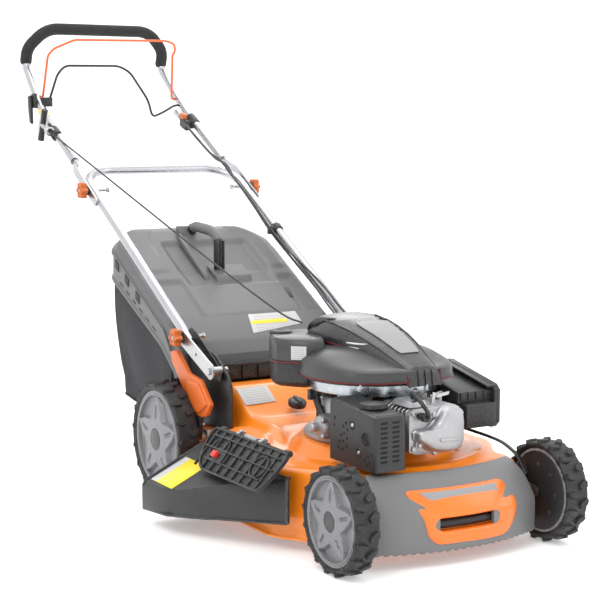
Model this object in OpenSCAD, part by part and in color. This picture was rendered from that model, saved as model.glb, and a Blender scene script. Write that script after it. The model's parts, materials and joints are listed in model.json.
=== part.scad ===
// Walk-behind petrol lawn mower with a steel deck, a vertical-shaft engine and a rear grass bag.
// -Y is the front, +Z is up, and the origin is under the middle of the machine's box on the ground.
// Sub-parts are drawn about the machine's own centre plane x = 0 and moved there by in_frame().

/* [Wheels] */
// Radius of a front wheel
front_wheel_r = 100; // [90:1:104]
// Radius of a rear wheel
rear_wheel_r = 127; // [120:1:130]
// Width of each tyre
tyre_w = 50; // [40:1:52]
// Centre plane of the front tyres from the middle
front_wheel_x = 236; // [236:1:240]
// Centre plane of the rear tyres from the middle
rear_wheel_x = 259; // [259:1:262]

/* [Deck] */
// Half width of the deck around the blade
deck_half_w = 262; // [258:1:266]
// Half width of the deck between the front wheels
nose_half_w = 200; // [198:1:201]
// Half width of the deck between the rear wheels
tail_half_w = 205; // [200:1:206]
// Height of the skirt's edge above the ground
skirt_z = 22; // [18:1:26]
// Height of the deck's flat top
deck_z = 160; // [156:1:164]
// Thickness of the sheet and plates
sheet = 3; // [2:0.5:4]

/* [Cutting] */
// Radius that the blade's tips sweep
blade_r = 243; // [230:1:243]
// Height of the blade's cutting edge at the lowest setting
blade_z = 36; // [32:1:40]

/* [Handle] */
// Sideways place of the handle tubes
handle_x = 208; // [206:1:209]
// Outside radius of the handle tube
tube_r = 11; // [10:0.5:11]
// Wall of the handle tube
tube_wall = 1.5; // [1:0.25:2]

/* [Hidden] */
$fn = 64;

// The frame's origin seen from the centre plane's foot under the wheels
frame_x = 58.5;
frame_y = -430.5;
gap = 0.3;
run = 0.08;

front_y = -372;
rear_y = 316;
crank_y = -110;
arm_run = 88;
arm_drop = 16;
axle_r = 6.5;
stub_r = 8;
front_pivot = [front_y + arm_run, front_wheel_r + arm_drop];
rear_pivot = [rear_y - arm_run, rear_wheel_r + arm_drop];
tab_r = 30;
tab_lean = 18.5;
plinth_z = 188;
plinth_r = 140;
nose_y = -366;

fold_y = 306;
fold_z = 347;
handle_slope = 29.77;
upper_fold_y = 826;
stud_r = 4;
stud_hole_r = stud_r + 0.1;
strap_x = handle_x + tube_r + gap;
function handle_z(y) = fold_z + (y - fold_y) * tan(handle_slope);

handle_low = [handle_x, fold_y - 16, handle_z(fold_y - 16)];
crossbar_side = [handle_x, 868, handle_z(868)];
crossbar_end = [160, 907, 690];
upper_low = [handle_x, 936, handle_z(936)];
upper_bend = [handle_x, 1174, handle_z(1174)];
grip_low = [199, 1310, 963];
grip_lean = 109;
grip_leg = 28;
grip_corner_r = 73;

brake_pivot = [1212, 872];
drive_pivot = [1186, 856];

guide_at = [-228, 1064, 785];
rope_in = [-80, 84, 394];
rope_fold = [-193, 832, 691];

// Place of a sub-part in the frame
module in_frame() {
    translate([frame_x, frame_y, 0]) children();
}

// The same sub-part on both sides of the centre plane
module both_sides() {
    children();
    mirror([1, 0, 0]) children();
}

// Round bar between two points
module rod(a, b, r) {
    d = b - a;
    len = norm(d);
    translate(a) rotate([0, acos(d[2] / len), atan2(d[1], d[0])]) cylinder(h = len, r = r);
}

// Bent round bar through a list of points
module bent_rod(pts, r, elbow = 0.3) {
    for (i = [0 : len(pts) - 2]) rod(pts[i], pts[i + 1], r);
    for (i = [1 : 1 : len(pts) - 2]) translate(pts[i]) sphere(r = r + elbow);
}

// Plate cut to an outline in the side view, between two sideways places
module side_plate(x0, x1, outline) {
    translate([x0, 0, 0]) rotate([90, 0, 90]) linear_extrude(x1 - x0) polygon(outline);
}

// Bar along X at a place in the side view
module cross_bar(x0, x1, at, r) {
    translate([x0, at[0], at[1]]) rotate([0, 90, 0]) cylinder(h = x1 - x0, r = r);
}

// Strap with round ends between two places in the side view
module side_strap(x0, x1, a, b, r) {
    cross_bar(x0, x1, a, r);
    cross_bar(x0, x1, b, r);
    n = (b - a) / norm(b - a);
    s = [-n[1], n[0]] * (r - 0.6);
    side_plate(x0, x1, [a + s - 0.3 * n, a - s - 0.3 * n, b - s + 0.4 * n, b + s + 0.4 * n]);
}

// ---- deck ----

function right_half(inset) = [
    [130, nose_y + inset], [nose_half_w - inset, nose_y + 36 + inset / 2], [nose_half_w - inset, -260 + inset / 2],
    [211.5 - inset, -245 + inset / 2], [221.6 - inset, -227.8 + inset / 2], [240 - inset, -200 + inset / 2],
    [deck_half_w - inset, -165 + inset / 2], [deck_half_w - inset, 128 - inset / 2], [233 - inset / 2, 158 - inset],
    [tail_half_w - inset / 2, 180 - inset], [tail_half_w - inset, 190 - inset], [tail_half_w - inset, 300 - inset]];

module deck_outline(inset) {
    right = right_half(inset);
    polygon(concat(right, [for (i = [len(right) - 1 : -1 : 0]) [-right[i][0], right[i][1]]]));
}

module deck_shell() {
    color("darkorange") in_frame() difference() {
        union() {
            translate([0, 0, skirt_z]) linear_extrude(deck_z - skirt_z) deck_outline(0);
            translate([0, crank_y, deck_z - 5]) cylinder(h = plinth_z - deck_z + 5, r = plinth_r);
            side_plate(-165, 165, [[-20, 150], [300, 150], [300, 245], [235, 245], [60, plinth_z], [-20, plinth_z]]);
        }
        translate([0, 0, skirt_z - 1]) linear_extrude(deck_z - sheet - skirt_z + 1) deck_outline(sheet);
        translate([0, crank_y, 100]) cylinder(h = plinth_z - sheet - 100, r = plinth_r - sheet);
        side_plate(-162, 162, [[-20, 130], [301, 130], [301, 242], [236, 242], [61, plinth_z - sheet],
            [-20, plinth_z - sheet]]);
        translate([0, crank_y, 150]) cylinder(h = 60, r = 30);
        cross_bar(-300, 300, front_pivot, 12);
        cross_bar(-300, 300, rear_pivot, 12);
        translate([-deck_half_w - 5, -160, 62]) cube([15, 195, 84]);
        translate([130, 205, 150]) cylinder(h = 20, r = 9.1);
    }
}

module front_bumper() {
    bow_r = 461;
    bow_angle = 24;
    color("dimgray") in_frame() difference() {
        translate([0, bow_r - 436, 0]) rotate([0, 0, 270 - bow_angle])
            rotate_extrude(angle = 2 * bow_angle, $fn = 180)
            polygon([[bow_r - 6, 28], [bow_r, 32], [bow_r, 92], [446, 134], [422, 166], [394, 166], [394, deck_z + 0.2],
                [415, deck_z + 0.2], [438, 130], [bow_r - 6, 89]]);
        translate([-122, -470, 40]) cube([244, 60, 62]);
    }
}

module bumper_insert() {
    bow_r = 465;
    color("darkorange") in_frame() difference() {
        translate([0, bow_r - 440, 0]) rotate([0, 0, 270 - 14.6])
            rotate_extrude(angle = 29.2, $fn = 180)
            polygon([[bow_r - 14, 41], [bow_r - 2, 41], [bow_r, 46], [bow_r, 94], [bow_r - 4, 101], [bow_r - 14, 101]]);
        translate([-66, -470, 70]) cube([132, 80, 20]);
    }
}

module rear_housing() {
    edge = [[135, deck_z + 0.02], [135, 302], [205, 370], [326, 370], [326, 250], [300, 200], [300, deck_z + 0.02]];
    color([0.08, 0.08, 0.08]) in_frame() difference() {
        union() {
            both_sides() side_plate(188, 196, edge);
            translate([-188.5, 288, 245]) cube([377, 12, 18]);
        }
        cross_bar(-240, 240, [fold_y, fold_z], stud_hole_r);
        cross_bar(-240, 240, [172, 291], stud_hole_r);
    }
}

module handle_brackets() {
    color("silver") in_frame() both_sides() difference() {
        union() {
            side_strap(strap_x, strap_x + 4, [172, 291], [fold_y, fold_z], 17);
            cross_bar(196, strap_x + 1, [172, 291], 9);
        }
        cross_bar(190, 240, [fold_y, fold_z], stud_hole_r);
        cross_bar(190, 240, [236, 317.8], stud_hole_r);
        cross_bar(190, 240, [172, 291], stud_hole_r);
    }
}

module axle_bushes() {
    color("gainsboro") in_frame() {
        both_sides() bush(nose_half_w - sheet - 8, nose_half_w, front_pivot);
        both_sides() bush(tail_half_w - sheet - 8, tail_half_w, rear_pivot);
    }
}

module bush(x0, x1, at) {
    difference() {
        union() {
            cross_bar(x0, x1, at, 11.9);
            cross_bar(x0, x0 + 7.9, at, 13.8);
        }
        cross_bar(x0 - 1, x1 + 1, at, axle_r + run);
    }
}

belt_z = 100;
pulley_r = 26;
gear_pulley = [0, 195];
gear_pulley_r = 30;

module gearbox() {
    color("silver") in_frame() difference() {
        union() {
            translate([-38, 206, 121]) cube([76, 60, 30]);
            cross_bar(-44, 44, rear_pivot, 16);
            translate([0, gear_pulley[1], 121]) cylinder(h = 30, r = 24);
            translate([0, gear_pulley[1], 92]) cylinder(h = 30, r = 8);
            translate([0, gear_pulley[1], belt_z - 6]) cylinder(h = 12, r = gear_pulley_r);
        }
        cross_bar(-50, 50, rear_pivot, axle_r + run);
    }
}

module belt_loop(grow, h) {
    near = pulley_r + 0.5 + grow;
    far = gear_pulley_r + grow;
    translate([0, crank_y, 0]) cylinder(h = h, r = near);
    translate([gear_pulley[0], gear_pulley[1], 0]) cylinder(h = h, r = far);
    linear_extrude(h) polygon([[-near, crank_y], [near, crank_y], [far, gear_pulley[1]], [-far, gear_pulley[1]]]);
}

module drive_belt() {
    color([0.1, 0.1, 0.1]) in_frame() translate([0, 0, belt_z - 4]) difference() {
        belt_loop(6, 8);
        translate([0, 0, -1]) belt_loop(0, 10);
    }
}

module deck_bolts() {
    color("silver") in_frame() {
        both_sides() bolt_x(196 - 14, strap_x + 4, [172, 291]);
        for (a = [45, 135, 225, 315]) translate([0, crank_y, plinth_z + 10])
            rotate([0, 0, a]) translate([124, 0, 0]) cylinder(h = 6, r = 7, $fn = 6);
    }
}

module bolt_x(x0, x1, at) {
    cross_bar(x0, x1 + 1, at, stud_r);
    translate([x1, at[0], at[1]]) rotate([0, 90, 0]) cylinder(h = 5, r = 7.5, $fn = 6);
    translate([x0, at[0], at[1]]) rotate([0, 90, 0]) cylinder(h = 6, r = 7.5, $fn = 6);
}

module wash_port() {
    color("gray") in_frame() translate([130, 205, 0]) difference() {
        union() {
            translate([0, 0, 140]) cylinder(h = 44, r = 9);
            translate([0, 0, deck_z]) cylinder(h = 8, r = 16);
            translate([0, 0, 184]) cylinder(h = 10, r = 11);
        }
        translate([0, 0, 139]) cylinder(h = 60, r = 5);
    }
}

module side_chute() {
    outer = [[-258, 150], [-390, 88], [-398, 84], [-398, 28], [-258, 28]];
    inner = [[-240, 147], [-392, 76], [-404, 70], [-404, 20], [-240, 20]];
    color([0.1, 0.1, 0.1]) in_frame() difference() {
        translate([0, 130, 0]) rotate([90, 0, 0]) linear_extrude(340) polygon(outer);
        translate([0, 126, 0]) rotate([90, 0, 0]) linear_extrude(332) polygon(inner);
        linear_extrude(200) polygon([[-420, -300], [-200, -300], [-200, -232], [-262, -232], [-420, 24]]);
        linear_extrude(200) polygon([[-deck_half_w - gap, -300], [-100, -300], [-100, 200], [-deck_half_w - gap, 200]]);
    }
}

// ---- engine ----

module crankcase() {
    color("lightgray") in_frame() translate([0, crank_y, 0]) difference() {
        union() {
            translate([0, 0, plinth_z]) cylinder(h = 10, r = 136);
            translate([0, 0, plinth_z]) cylinder(h = 82, r = 104);
            translate([0, 0, 262]) cylinder(h = 43, r = 66);
        }
        translate([0, 0, plinth_z + 10]) cylinder(h = 66, r = 97);
        translate([0, 0, plinth_z - 1]) cylinder(h = 140, r = 12.5 + run);
        translate([-44, -120, 198]) cube([88, 40, 78]);
    }
}

module cylinder_head() {
    color("silver") in_frame() difference() {
        union() {
            translate([0, -196, 236]) rotate([90, 0, 0]) cylinder(h = 125, r = 37);
            for (i = [0 : 7]) translate([-56, -224 - i * 13, 198.5]) cube([112, 5, 77.5]);
            translate([-56, -325, 192]) cube([112, 14, 86]);
        }
        translate([0, -190, 236]) rotate([90, 0, 0]) cylinder(h = 112, r = 32);
    }
}

module valve_cover() {
    color("silver") in_frame() {
        translate([-55, -343, 192]) cube([112, 18, 82]);
        for (x = [-44, 46], z = [202, 264]) translate([x, -343, z]) rotate([90, 0, 0])
            cylinder(h = 5, r = 5, $fn = 6);
    }
}

module muffler() {
    color("dimgray") in_frame() {
        difference() {
            translate([-146, -350, 184]) cube([58, 136, 84]);
            translate([0, crank_y, 170]) cylinder(h = 32, r = plinth_r + 3);
        }
        translate([-146, -320, 225]) rotate([0, -90, 0]) cylinder(h = 8, r = 9);
        translate([-88, -318, 240]) rotate([0, 90, 0]) cylinder(h = 32, r = 10);
    }
}

module muffler_guard() {
    low = [-157, -362, 174];
    size = [70, 157, 104];
    color([0.12, 0.12, 0.12]) in_frame() difference() {
        translate(low) cube(size);
        translate(low + [2, 2, 2]) cube([size[0], size[1] + 4, size[2] - 4]);
        translate([0, crank_y, 160]) cylinder(h = 40, r = plinth_r + 1);
        translate([-140, -320, 225]) rotate([0, -90, 0]) cylinder(h = 30, r = 10);
        for (i = [0 : 5], k = [0 : 2]) translate([-150, -240 - i * 12, 206 + k * 20])
            rotate([0, -90, 0]) cylinder(h = 20, r = 3.5);
        for (i = [0 : 3]) translate([-140 + i * 13, -370, 196]) cube([5, 20, 58]);
    }
}

shroud_r = 152;
module engine_shroud() {
    color([0.16, 0.16, 0.17]) in_frame() translate([0, crank_y, 0]) difference() {
        union() {
            translate([0, 0, 308]) cylinder(h = 40, r = shroud_r);
            translate([0, 0, 348]) cylinder(h = 12, r = shroud_r - 14);
        }
        translate([0, 0, 307]) cylinder(h = 38, r = shroud_r - 4);
        translate([0, 0, 340]) cylinder(h = 30, r = 104);
    }
}

module top_cover() {
    color([0.16, 0.16, 0.17]) in_frame() translate([0, crank_y, 0]) union() {
        rotate_extrude() polygon([[0, 406], [70, 403], [118, 392], [134, 376], [137, 360], [133, 360], [129, 374],
            [114, 388], [70, 399], [0, 402]]);
        translate([0, 0, 362]) cylinder(h = 42, r = 12 - run);
        translate([-70, 60, 385]) cube([140, 62, 34]);
    }
}

module fuel_tank() {
    color([0.16, 0.16, 0.17]) in_frame() difference() {
        translate([-176, -40, 290]) cube([150, 130, 84]);
        translate([0, crank_y, 280]) cylinder(h = 120, r = shroud_r + gap);
        translate([-124, 44, 300]) cylinder(h = 100, r = 15);
    }
}

module fuel_cap() {
    color([0.1, 0.1, 0.1]) in_frame() translate([-124, 44, 0]) {
        translate([0, 0, 375]) cylinder(h = 16, r = 24);
        translate([0, 0, 356]) cylinder(h = 20, r = 15 - run);
    }
}

module air_filter_box() {
    color([0.1, 0.1, 0.1]) in_frame() difference() {
        translate([108, -262, 200]) cube([100, 122, 102]);
        translate([111, -270, 203]) cube([94, 127, 96]);
        translate([100, -248, 238]) rotate([0, 90, 0]) cylinder(h = 30, r = 12);
    }
}

module air_filter_cover() {
    color([0.08, 0.08, 0.08]) in_frame() {
        translate([105, -272, 197]) cube([106, 10, 108]);
        for (i = [0 : 5]) translate([113 + i * 17, -276, 205]) cube([5, 5, 92]);
    }
}

module carburettor() {
    color("silver") in_frame() {
        translate([58, -270, 214]) cube([34, 44, 50]);
        translate([91, -248, 238]) rotate([0, 90, 0]) cylinder(h = 17, r = 12);
        translate([74, -248, 204]) cylinder(h = 11, r = 15);
    }
}

dip_at = [-108, crank_y + 36];
module dipstick_tube() {
    color([0.1, 0.1, 0.1]) in_frame() difference() {
        union() {
            translate([dip_at[0], dip_at[1], plinth_z + 10]) cylinder(h = 80, r = 8.4);
            translate([dip_at[0], dip_at[1], 276]) cylinder(h = 8, r = 11);
        }
        translate([dip_at[0], dip_at[1], plinth_z + 13]) cylinder(h = 90, r = 5);
    }
}

module dipstick() {
    color([0.1, 0.1, 0.1]) in_frame() translate([dip_at[0], dip_at[1], 0]) {
        translate([0, 0, 284.3]) cylinder(h = 12, r = 11);
        translate([0, 0, 276]) cylinder(h = 9, r = 5 - run);
        translate([0, 0, 214]) cylinder(h = 64, r = 2);
    }
}

module spark_plug() {
    color([0.1, 0.1, 0.1]) in_frame() {
        translate([-30, -318, 284]) cylinder(h = 20, r = 10);
        translate([-30, -318, 278]) cylinder(h = 6, r = 8, $fn = 6);
    }
}

// ---- turning under the engine ----

module crankshaft() {
    color("silver") in_frame() translate([0, crank_y, 0]) difference() {
        union() {
            translate([0, 0, 50]) cylinder(h = 300, r = 12.5);
            translate([0, 0, 208]) cylinder(h = 14, r = 50);
            translate([0, 0, 236]) cylinder(h = 14, r = 50);
            translate([0, 0, belt_z - 6]) cylinder(h = 12, r = pulley_r);
        }
        translate([0, 0, 45]) cylinder(h = 40, r = 6);
    }
}

module flywheel() {
    color("gray") in_frame() translate([0, crank_y, 0]) difference() {
        union() {
            translate([0, 0, 314]) cylinder(h = 20, r = 95);
            for (a = [0 : 30 : 330]) rotate([0, 0, a]) translate([60, -1.5, 333]) cube([34, 3, 14]);
        }
        translate([0, 0, 300]) cylinder(h = 60, r = 12.5);
    }
}

module blade() {
    color("dimgray") in_frame() translate([0, crank_y, 0]) difference() {
        union() {
            translate([-blade_r + 4, -28, blade_z]) cube([2 * blade_r - 8, 56, 4]);
            for (s = [0, 180]) rotate([0, 0, s]) translate([140, 16, blade_z + 4]) rotate([25, 0, 0])
                cube([90, 14, 3]);
        }
        translate([0, 0, blade_z - 5]) cylinder(h = 20, r = 6);
    }
}

module blade_bolt() {
    color("silver") in_frame() translate([0, crank_y, 0]) {
        translate([0, 0, blade_z - 10]) cylinder(h = 10, r = 11, $fn = 6);
        translate([0, 0, blade_z - 1]) cylinder(h = 40, r = 6);
    }
}

// ---- wheels and height adjustment ----

function tab_end(pivot, up) = pivot + tab_r * [sin(tab_lean), up * cos(tab_lean)];

module cranked_axle(pivot, hub, wall_x, stub_x, up) {
    cross_bar(-wall_x - 3, wall_x + 3, pivot, axle_r);
    both_sides() {
        side_strap(wall_x, wall_x + 5.5, pivot, hub, 11);
        cross_bar(wall_x + 2, stub_x, hub, stub_r);
    }
    side_strap(178, 183, pivot, tab_end(pivot, up), 9);
    cross_bar(180, 192, tab_end(pivot, up), 4);
}

module rear_axle() {
    color("dimgray") in_frame()
        cranked_axle(rear_pivot, [rear_y, rear_wheel_r], tail_half_w + 1, rear_wheel_x + 12, -1);
}

module front_axle() {
    color("dimgray") in_frame()
        cranked_axle(front_pivot, [front_y, front_wheel_r], nose_half_w + 1, front_wheel_x + 12, 1);
}

module height_lever() {
    color("darkorange") in_frame() union() {
        side_plate(-230, -219, [[214, 132], [242, 132], [262, 200], [300, 248], [345, 288], [350, 314], [316, 320],
            [262, 276], [206, 266], [158, 222], [196, 196]]);
        cross_bar(-220, -211.5, rear_pivot, 10);
    }
}

module height_link() {
    a = tab_end(rear_pivot, -1);
    b = tab_end(front_pivot, 1);
    color("silver") in_frame() difference() {
        side_strap(184.5, 189, a, b, 11);
        cross_bar(180, 195, a, 6.5);
        cross_bar(180, 195, b, 6.5);
    }
}

module tyre(x, at, r, rim_r) {
    color([0.07, 0.07, 0.07]) in_frame() translate([x, at, r]) rotate([0, 90, 0]) translate([0, 0, -tyre_w / 2])
        rotate_extrude($fn = 96) polygon([[rim_r, 4], [r - 6, 0], [r, 8], [r, tyre_w - 8], [r - 6, tyre_w],
            [rim_r, tyre_w - 4]]);
}

// Wheel body with its outer face towards +X when side is 1
module wheel(x, at, r, rim_r, side) {
    color("gray") in_frame() translate([x, at, r]) rotate([0, 90 * side, 0]) translate([0, 0, -tyre_w / 2])
        rotate_extrude($fn = 96) polygon([[stub_r + run, 1], [20, 1], [20, 26], [rim_r - 6, 26], [rim_r - 6, 5],
            [rim_r, 5], [rim_r, tyre_w - 5], [rim_r - 6, tyre_w - 5], [rim_r - 10, tyre_w - 10], [24, tyre_w - 6],
            [22, tyre_w - 1], [0, tyre_w - 1], [0, tyre_w - 8], [stub_r + run, tyre_w - 8]]);
}

front_rim_r = 84;
rear_rim_r = 108;
module tyre_front_left() { tyre(-front_wheel_x, front_y, front_wheel_r, front_rim_r); }
module tyre_front_right() { tyre(front_wheel_x, front_y, front_wheel_r, front_rim_r); }
module tyre_rear_left() { tyre(-rear_wheel_x, rear_y, rear_wheel_r, rear_rim_r); }
module tyre_rear_right() { tyre(rear_wheel_x, rear_y, rear_wheel_r, rear_rim_r); }
module wheel_front_left() { wheel(-front_wheel_x, front_y, front_wheel_r, front_rim_r, -1); }
module wheel_front_right() { wheel(front_wheel_x, front_y, front_wheel_r, front_rim_r, 1); }
module wheel_rear_left() { wheel(-rear_wheel_x, rear_y, rear_wheel_r, rear_rim_r, -1); }
module wheel_rear_right() { wheel(rear_wheel_x, rear_y, rear_wheel_r, rear_rim_r, 1); }

// ---- handle ----

function mirrored(p) = [-p[0], p[1], p[2]];
function both_ways(pts) = concat(pts, [for (i = [len(pts) - 1 : -1 : 0]) mirrored(pts[i])]);

module lower_handle() {
    route = both_ways([handle_low, crossbar_side, crossbar_end]);
    color("silver") in_frame() difference() {
        bent_rod(route, tube_r);
        bent_rod(route, tube_r - tube_wall);
        cross_bar(-240, 240, [fold_y, fold_z], stud_hole_r);
        cross_bar(-240, 240, [upper_fold_y, handle_z(upper_fold_y)], stud_hole_r);
    }
}

// Loop at the top of the handle, from one grip end over to the other, as a bar of radius r
module grip_loop(r) {
    top_half = grip_low[0] - grip_corner_r;
    translate([0, grip_low[1], grip_low[2]]) rotate([grip_lean, 0, 0]) {
        both_sides() {
            rod([grip_low[0], 0, 0], [grip_low[0], grip_leg, 0], r);
            translate([top_half, grip_leg, 0]) rotate_extrude(angle = 90) translate([grip_corner_r, 0]) circle(r);
        }
        rod([-top_half, grip_leg + grip_corner_r, 0], [top_half, grip_leg + grip_corner_r, 0], r);
    }
}

module upper_handle() {
    strap_low = [774, handle_z(774)];
    strap_high = [944, handle_z(944)];
    color("silver") in_frame() difference() {
        union() {
            both_sides() {
                bent_rod([upper_low, upper_bend, grip_low], tube_r);
                translate(grip_low) sphere(r = tube_r + 0.3);
                side_strap(strap_x, strap_x + 4, strap_low, strap_high, 11);
                side_strap(handle_x, strap_x + 3, [936, handle_z(936)], strap_high, 9);
            }
            grip_loop(tube_r);
        }
        both_sides() {
            rod([handle_x, 960, handle_z(960)], [handle_x, 1150, handle_z(1150)], tube_r - tube_wall);
            cross_bar(190, 230, brake_pivot, 3 + run);
            cross_bar(190, 230, drive_pivot, 3 + run);
            cross_bar(190, 240, upper_fold, stud_hole_r);
        }
    }
}

module foam_grip() {
    color([0.06, 0.06, 0.06]) in_frame() difference() {
        grip_loop(15.5);
        grip_loop(tube_r);
        translate(grip_low) sphere(r = tube_r + 0.3);
        translate([-grip_low[0], grip_low[1], grip_low[2]]) sphere(r = tube_r + 0.3);
        both_sides() rod(upper_bend, grip_low + 0.04 * (grip_low - upper_bend), tube_r + 0.2);
    }
}

// Rope guide outside the left tube and the cable bracket on the right one
module handle_fittings() {
    guide_low = [handle_x, 1060, handle_z(1060)];
    color([0.1, 0.1, 0.1]) in_frame() {
        mirror([1, 0, 0]) difference() {
            union() {
                rod([handle_x + 4, 1046, handle_z(1046)], [handle_x + 4, 1082, handle_z(1082)], 16);
                translate([228, 1064, 785]) sphere(r = 9);
            }
            rod([handle_x, 1000, handle_z(1000)], [handle_x, 1150, handle_z(1150)], tube_r + 0.05);
            rod([248, 1197, 838], [208, 932, 732], 3.5);
        }
        difference() {
            rod([handle_x, 1100, handle_z(1100)], [handle_x, 1140, handle_z(1140)], 17);
            rod([handle_x, 1080, handle_z(1080)], [handle_x, 1160, handle_z(1160)], tube_r + 0.05);
        }
    }
}

module star_knob(x, at) {
    color("orangered") in_frame() {
        cross_bar(x + 2, x + 22, at, 15);
        for (a = [0 : 60 : 300]) cross_bar(x + 6, x + 20, at + 15 * [cos(a), sin(a)], 6.5);
        cross_bar(x, x + 4, at, 12);
        cross_bar(x - 52, x + 3, at, stud_r);
        translate([x - 56, at[0], at[1]]) rotate([0, 90, 0]) cylinder(h = 6, r = 7, $fn = 6);
    }
}

knob_x = strap_x + 4.5;
upper_fold = [upper_fold_y, handle_z(upper_fold_y)];
module knob_lower_right() { star_knob(knob_x, [fold_y, fold_z]); }
module knob_lower_left() { translate([2 * frame_x, 0, 0]) mirror([1, 0, 0]) knob_lower_right(); }
module knob_upper_right() { star_knob(knob_x, upper_fold); }
module knob_upper_left() { translate([2 * frame_x, 0, 0]) mirror([1, 0, 0]) knob_upper_right(); }

module brake_bail() {
    color("orangered") in_frame() bent_rod([
        [-212, brake_pivot[0], brake_pivot[1]], [-188, brake_pivot[0], brake_pivot[1]], [-191, 1162, 984],
        [-120, 1152, 1024], [146, 1152, 1028], [168, 1154, 1008], [188, brake_pivot[0], brake_pivot[1]],
        [212, brake_pivot[0], brake_pivot[1]]], 3, 0.2);
}

module drive_bail() {
    color([0.08, 0.08, 0.08]) in_frame() bent_rod([
        [-212, drive_pivot[0], drive_pivot[1]], [-184, drive_pivot[0], drive_pivot[1]], [-172, 1146, 934],
        [-152, 1142, 956], [0, 1142, 958], [32, 1142, 942], [84, 1142, 868], [98, 1146, 823], [138, 1164, 836],
        [184, drive_pivot[0], drive_pivot[1]], [212, drive_pivot[0], drive_pivot[1]]], 3, 0.2);
}

module starter_handle() {
    color([0.1, 0.1, 0.1]) in_frame() {
        rod([-229.5, 1090, 841], [-229.5, 1122, 763], 8);
        rod([-229, 1106, 801.6], guide_at + [-0.9, 21.5, 8.6], 4.5);
    }
}

module recoil_pulley() {
    color("white") in_frame() translate([0, crank_y, 0]) difference() {
        translate([0, 0, 366]) cylinder(h = 12, r = 92);
        translate([0, 0, 360]) cylinder(h = 30, r = 12);
    }
}

// Thin round cable swept along hand-placed points
function ring(p, d, r) = let(
    n = d / norm(d), u = cross(n, [0, 0, 1]) / norm(cross(n, [0, 0, 1])), v = cross(u, n))
    [for (k = [0 : 7]) p + r * cos(45 * k) * u + r * sin(45 * k) * v];
module cable(pts, r) {
    n = len(pts);
    rings = [for (i = [0 : n - 1]) each ring(pts[i], pts[min(i + 1, n - 1)] - pts[max(i - 1, 0)], r)];
    sides = [for (i = [0 : n - 2], k = [0 : 7])
        [8 * i + k, 8 * i + 8 + k, 8 * i + 8 + (k + 1) % 8, 8 * i + (k + 1) % 8]];
    polyhedron(rings, concat(sides, [[for (k = [0 : 7]) k], [for (k = [7 : -1 : 0]) 8 * n - 8 + k]]), 6);
}

brake_cable_top = [[192, 1196, 834], [190, 1130, 802], [188, 1050, 762], [187, 950, 716], [187, 890, 702], [188, 846, 670]];
drive_cable_top = [[184, 1176, 838], [178, 1120, 812], [168, 1040, 780], [166, 940, 732], [172, 892, 712], [177, 850, 684]];
brake_cable_low = [[188, 834, 662], [188, 740, 602], [188, 650, 541], [190, 540, 478], [186, 430, 424],
    [160, 320, 388], [124, 200, 366], [96, 92, 352]];
drive_cable_low = [[177, 838, 676], [180, 740, 616], [186, 654, 552], [184, 560, 504], [170, 450, 470],
    [146, 330, 440], [122, 210, 400], [100, 96, 366]];

module upper_cables() {
    color([0.08, 0.08, 0.08]) in_frame() {
        cable(brake_cable_top, 3);
        cable(drive_cable_top, 3);
        cable([guide_at, [-211, 950, 740], [-196, 850, 700]], 2);
    }
}

module lower_cables() {
    color([0.08, 0.08, 0.08]) in_frame() {
        cable(brake_cable_low, 3);
        cable(drive_cable_low, 3);
        cable([rope_fold, [-155, 580, 591], [-118, 332, 492], rope_in + [0, 44, 18]], 2);
    }
}

// ---- bag and flaps ----

module bag_lid() {
    color("dimgray") in_frame() {
        difference() {
            side_plate(-218, 218, [[336, 258], [415, 366], [748, 549], [788, 546], [800, 530], [800, 482], [772, 478],
                [420, 316], [340, 250]]);
            side_plate(-214, 214, [[330, 240], [342, 256], [418, 360], [748, 544], [786, 541], [796, 528], [796, 470],
                [772, 470], [420, 306], [340, 240]]);
        }
        handle_arch();
    }
}

module handle_arch() {
    side_plate(-8, 20, [[560, 438], [592, 456], [592, 520], [606, 532], [690, 540], [714, 526], [742, 541], [730, 554],
        [700, 564], [602, 556], [572, 544], [560, 522]]);
}

module bag_body() {
    outer = [[342, 252], [420, 312], [772, 475], [768, 462], [700, 160], [345, 160]];
    color([0.12, 0.12, 0.12]) in_frame() difference() {
        side_plate(-213, 213, outer);
        side_plate(-210, 210, [[330, 238], [342, 248.5], [420, 315], [775, 480], [764, 462], [697, 163], [330, 163]]);
    }
}

module rear_flap() {
    color([0.1, 0.1, 0.1]) in_frame() union() {
        side_plate(-184, 184, [[310, 268], [314, 264], [400, 372], [396, 376]]);
        cross_bar(-184, 184, [308, 270], 5);
    }
}

flap_hinge = [-262, 197];
module side_flap() {
    color([0.1, 0.1, 0.1]) in_frame() translate([flap_hinge[0], 0, flap_hinge[1]]) rotate([0, -48, 0]) {
        translate([-96, -250, 4]) cube([96, 300, 4]);
        for (i = [0 : 8]) translate([-88, -236 + i * 32, 7]) cube([78, 8, 5]);
        translate([0, -240, 0]) rotate([-90, 0, 0]) cylinder(h = 280, r = 5);
        translate([-4, -240, 0]) cube([8, 280, 6]);
    }
}

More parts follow.
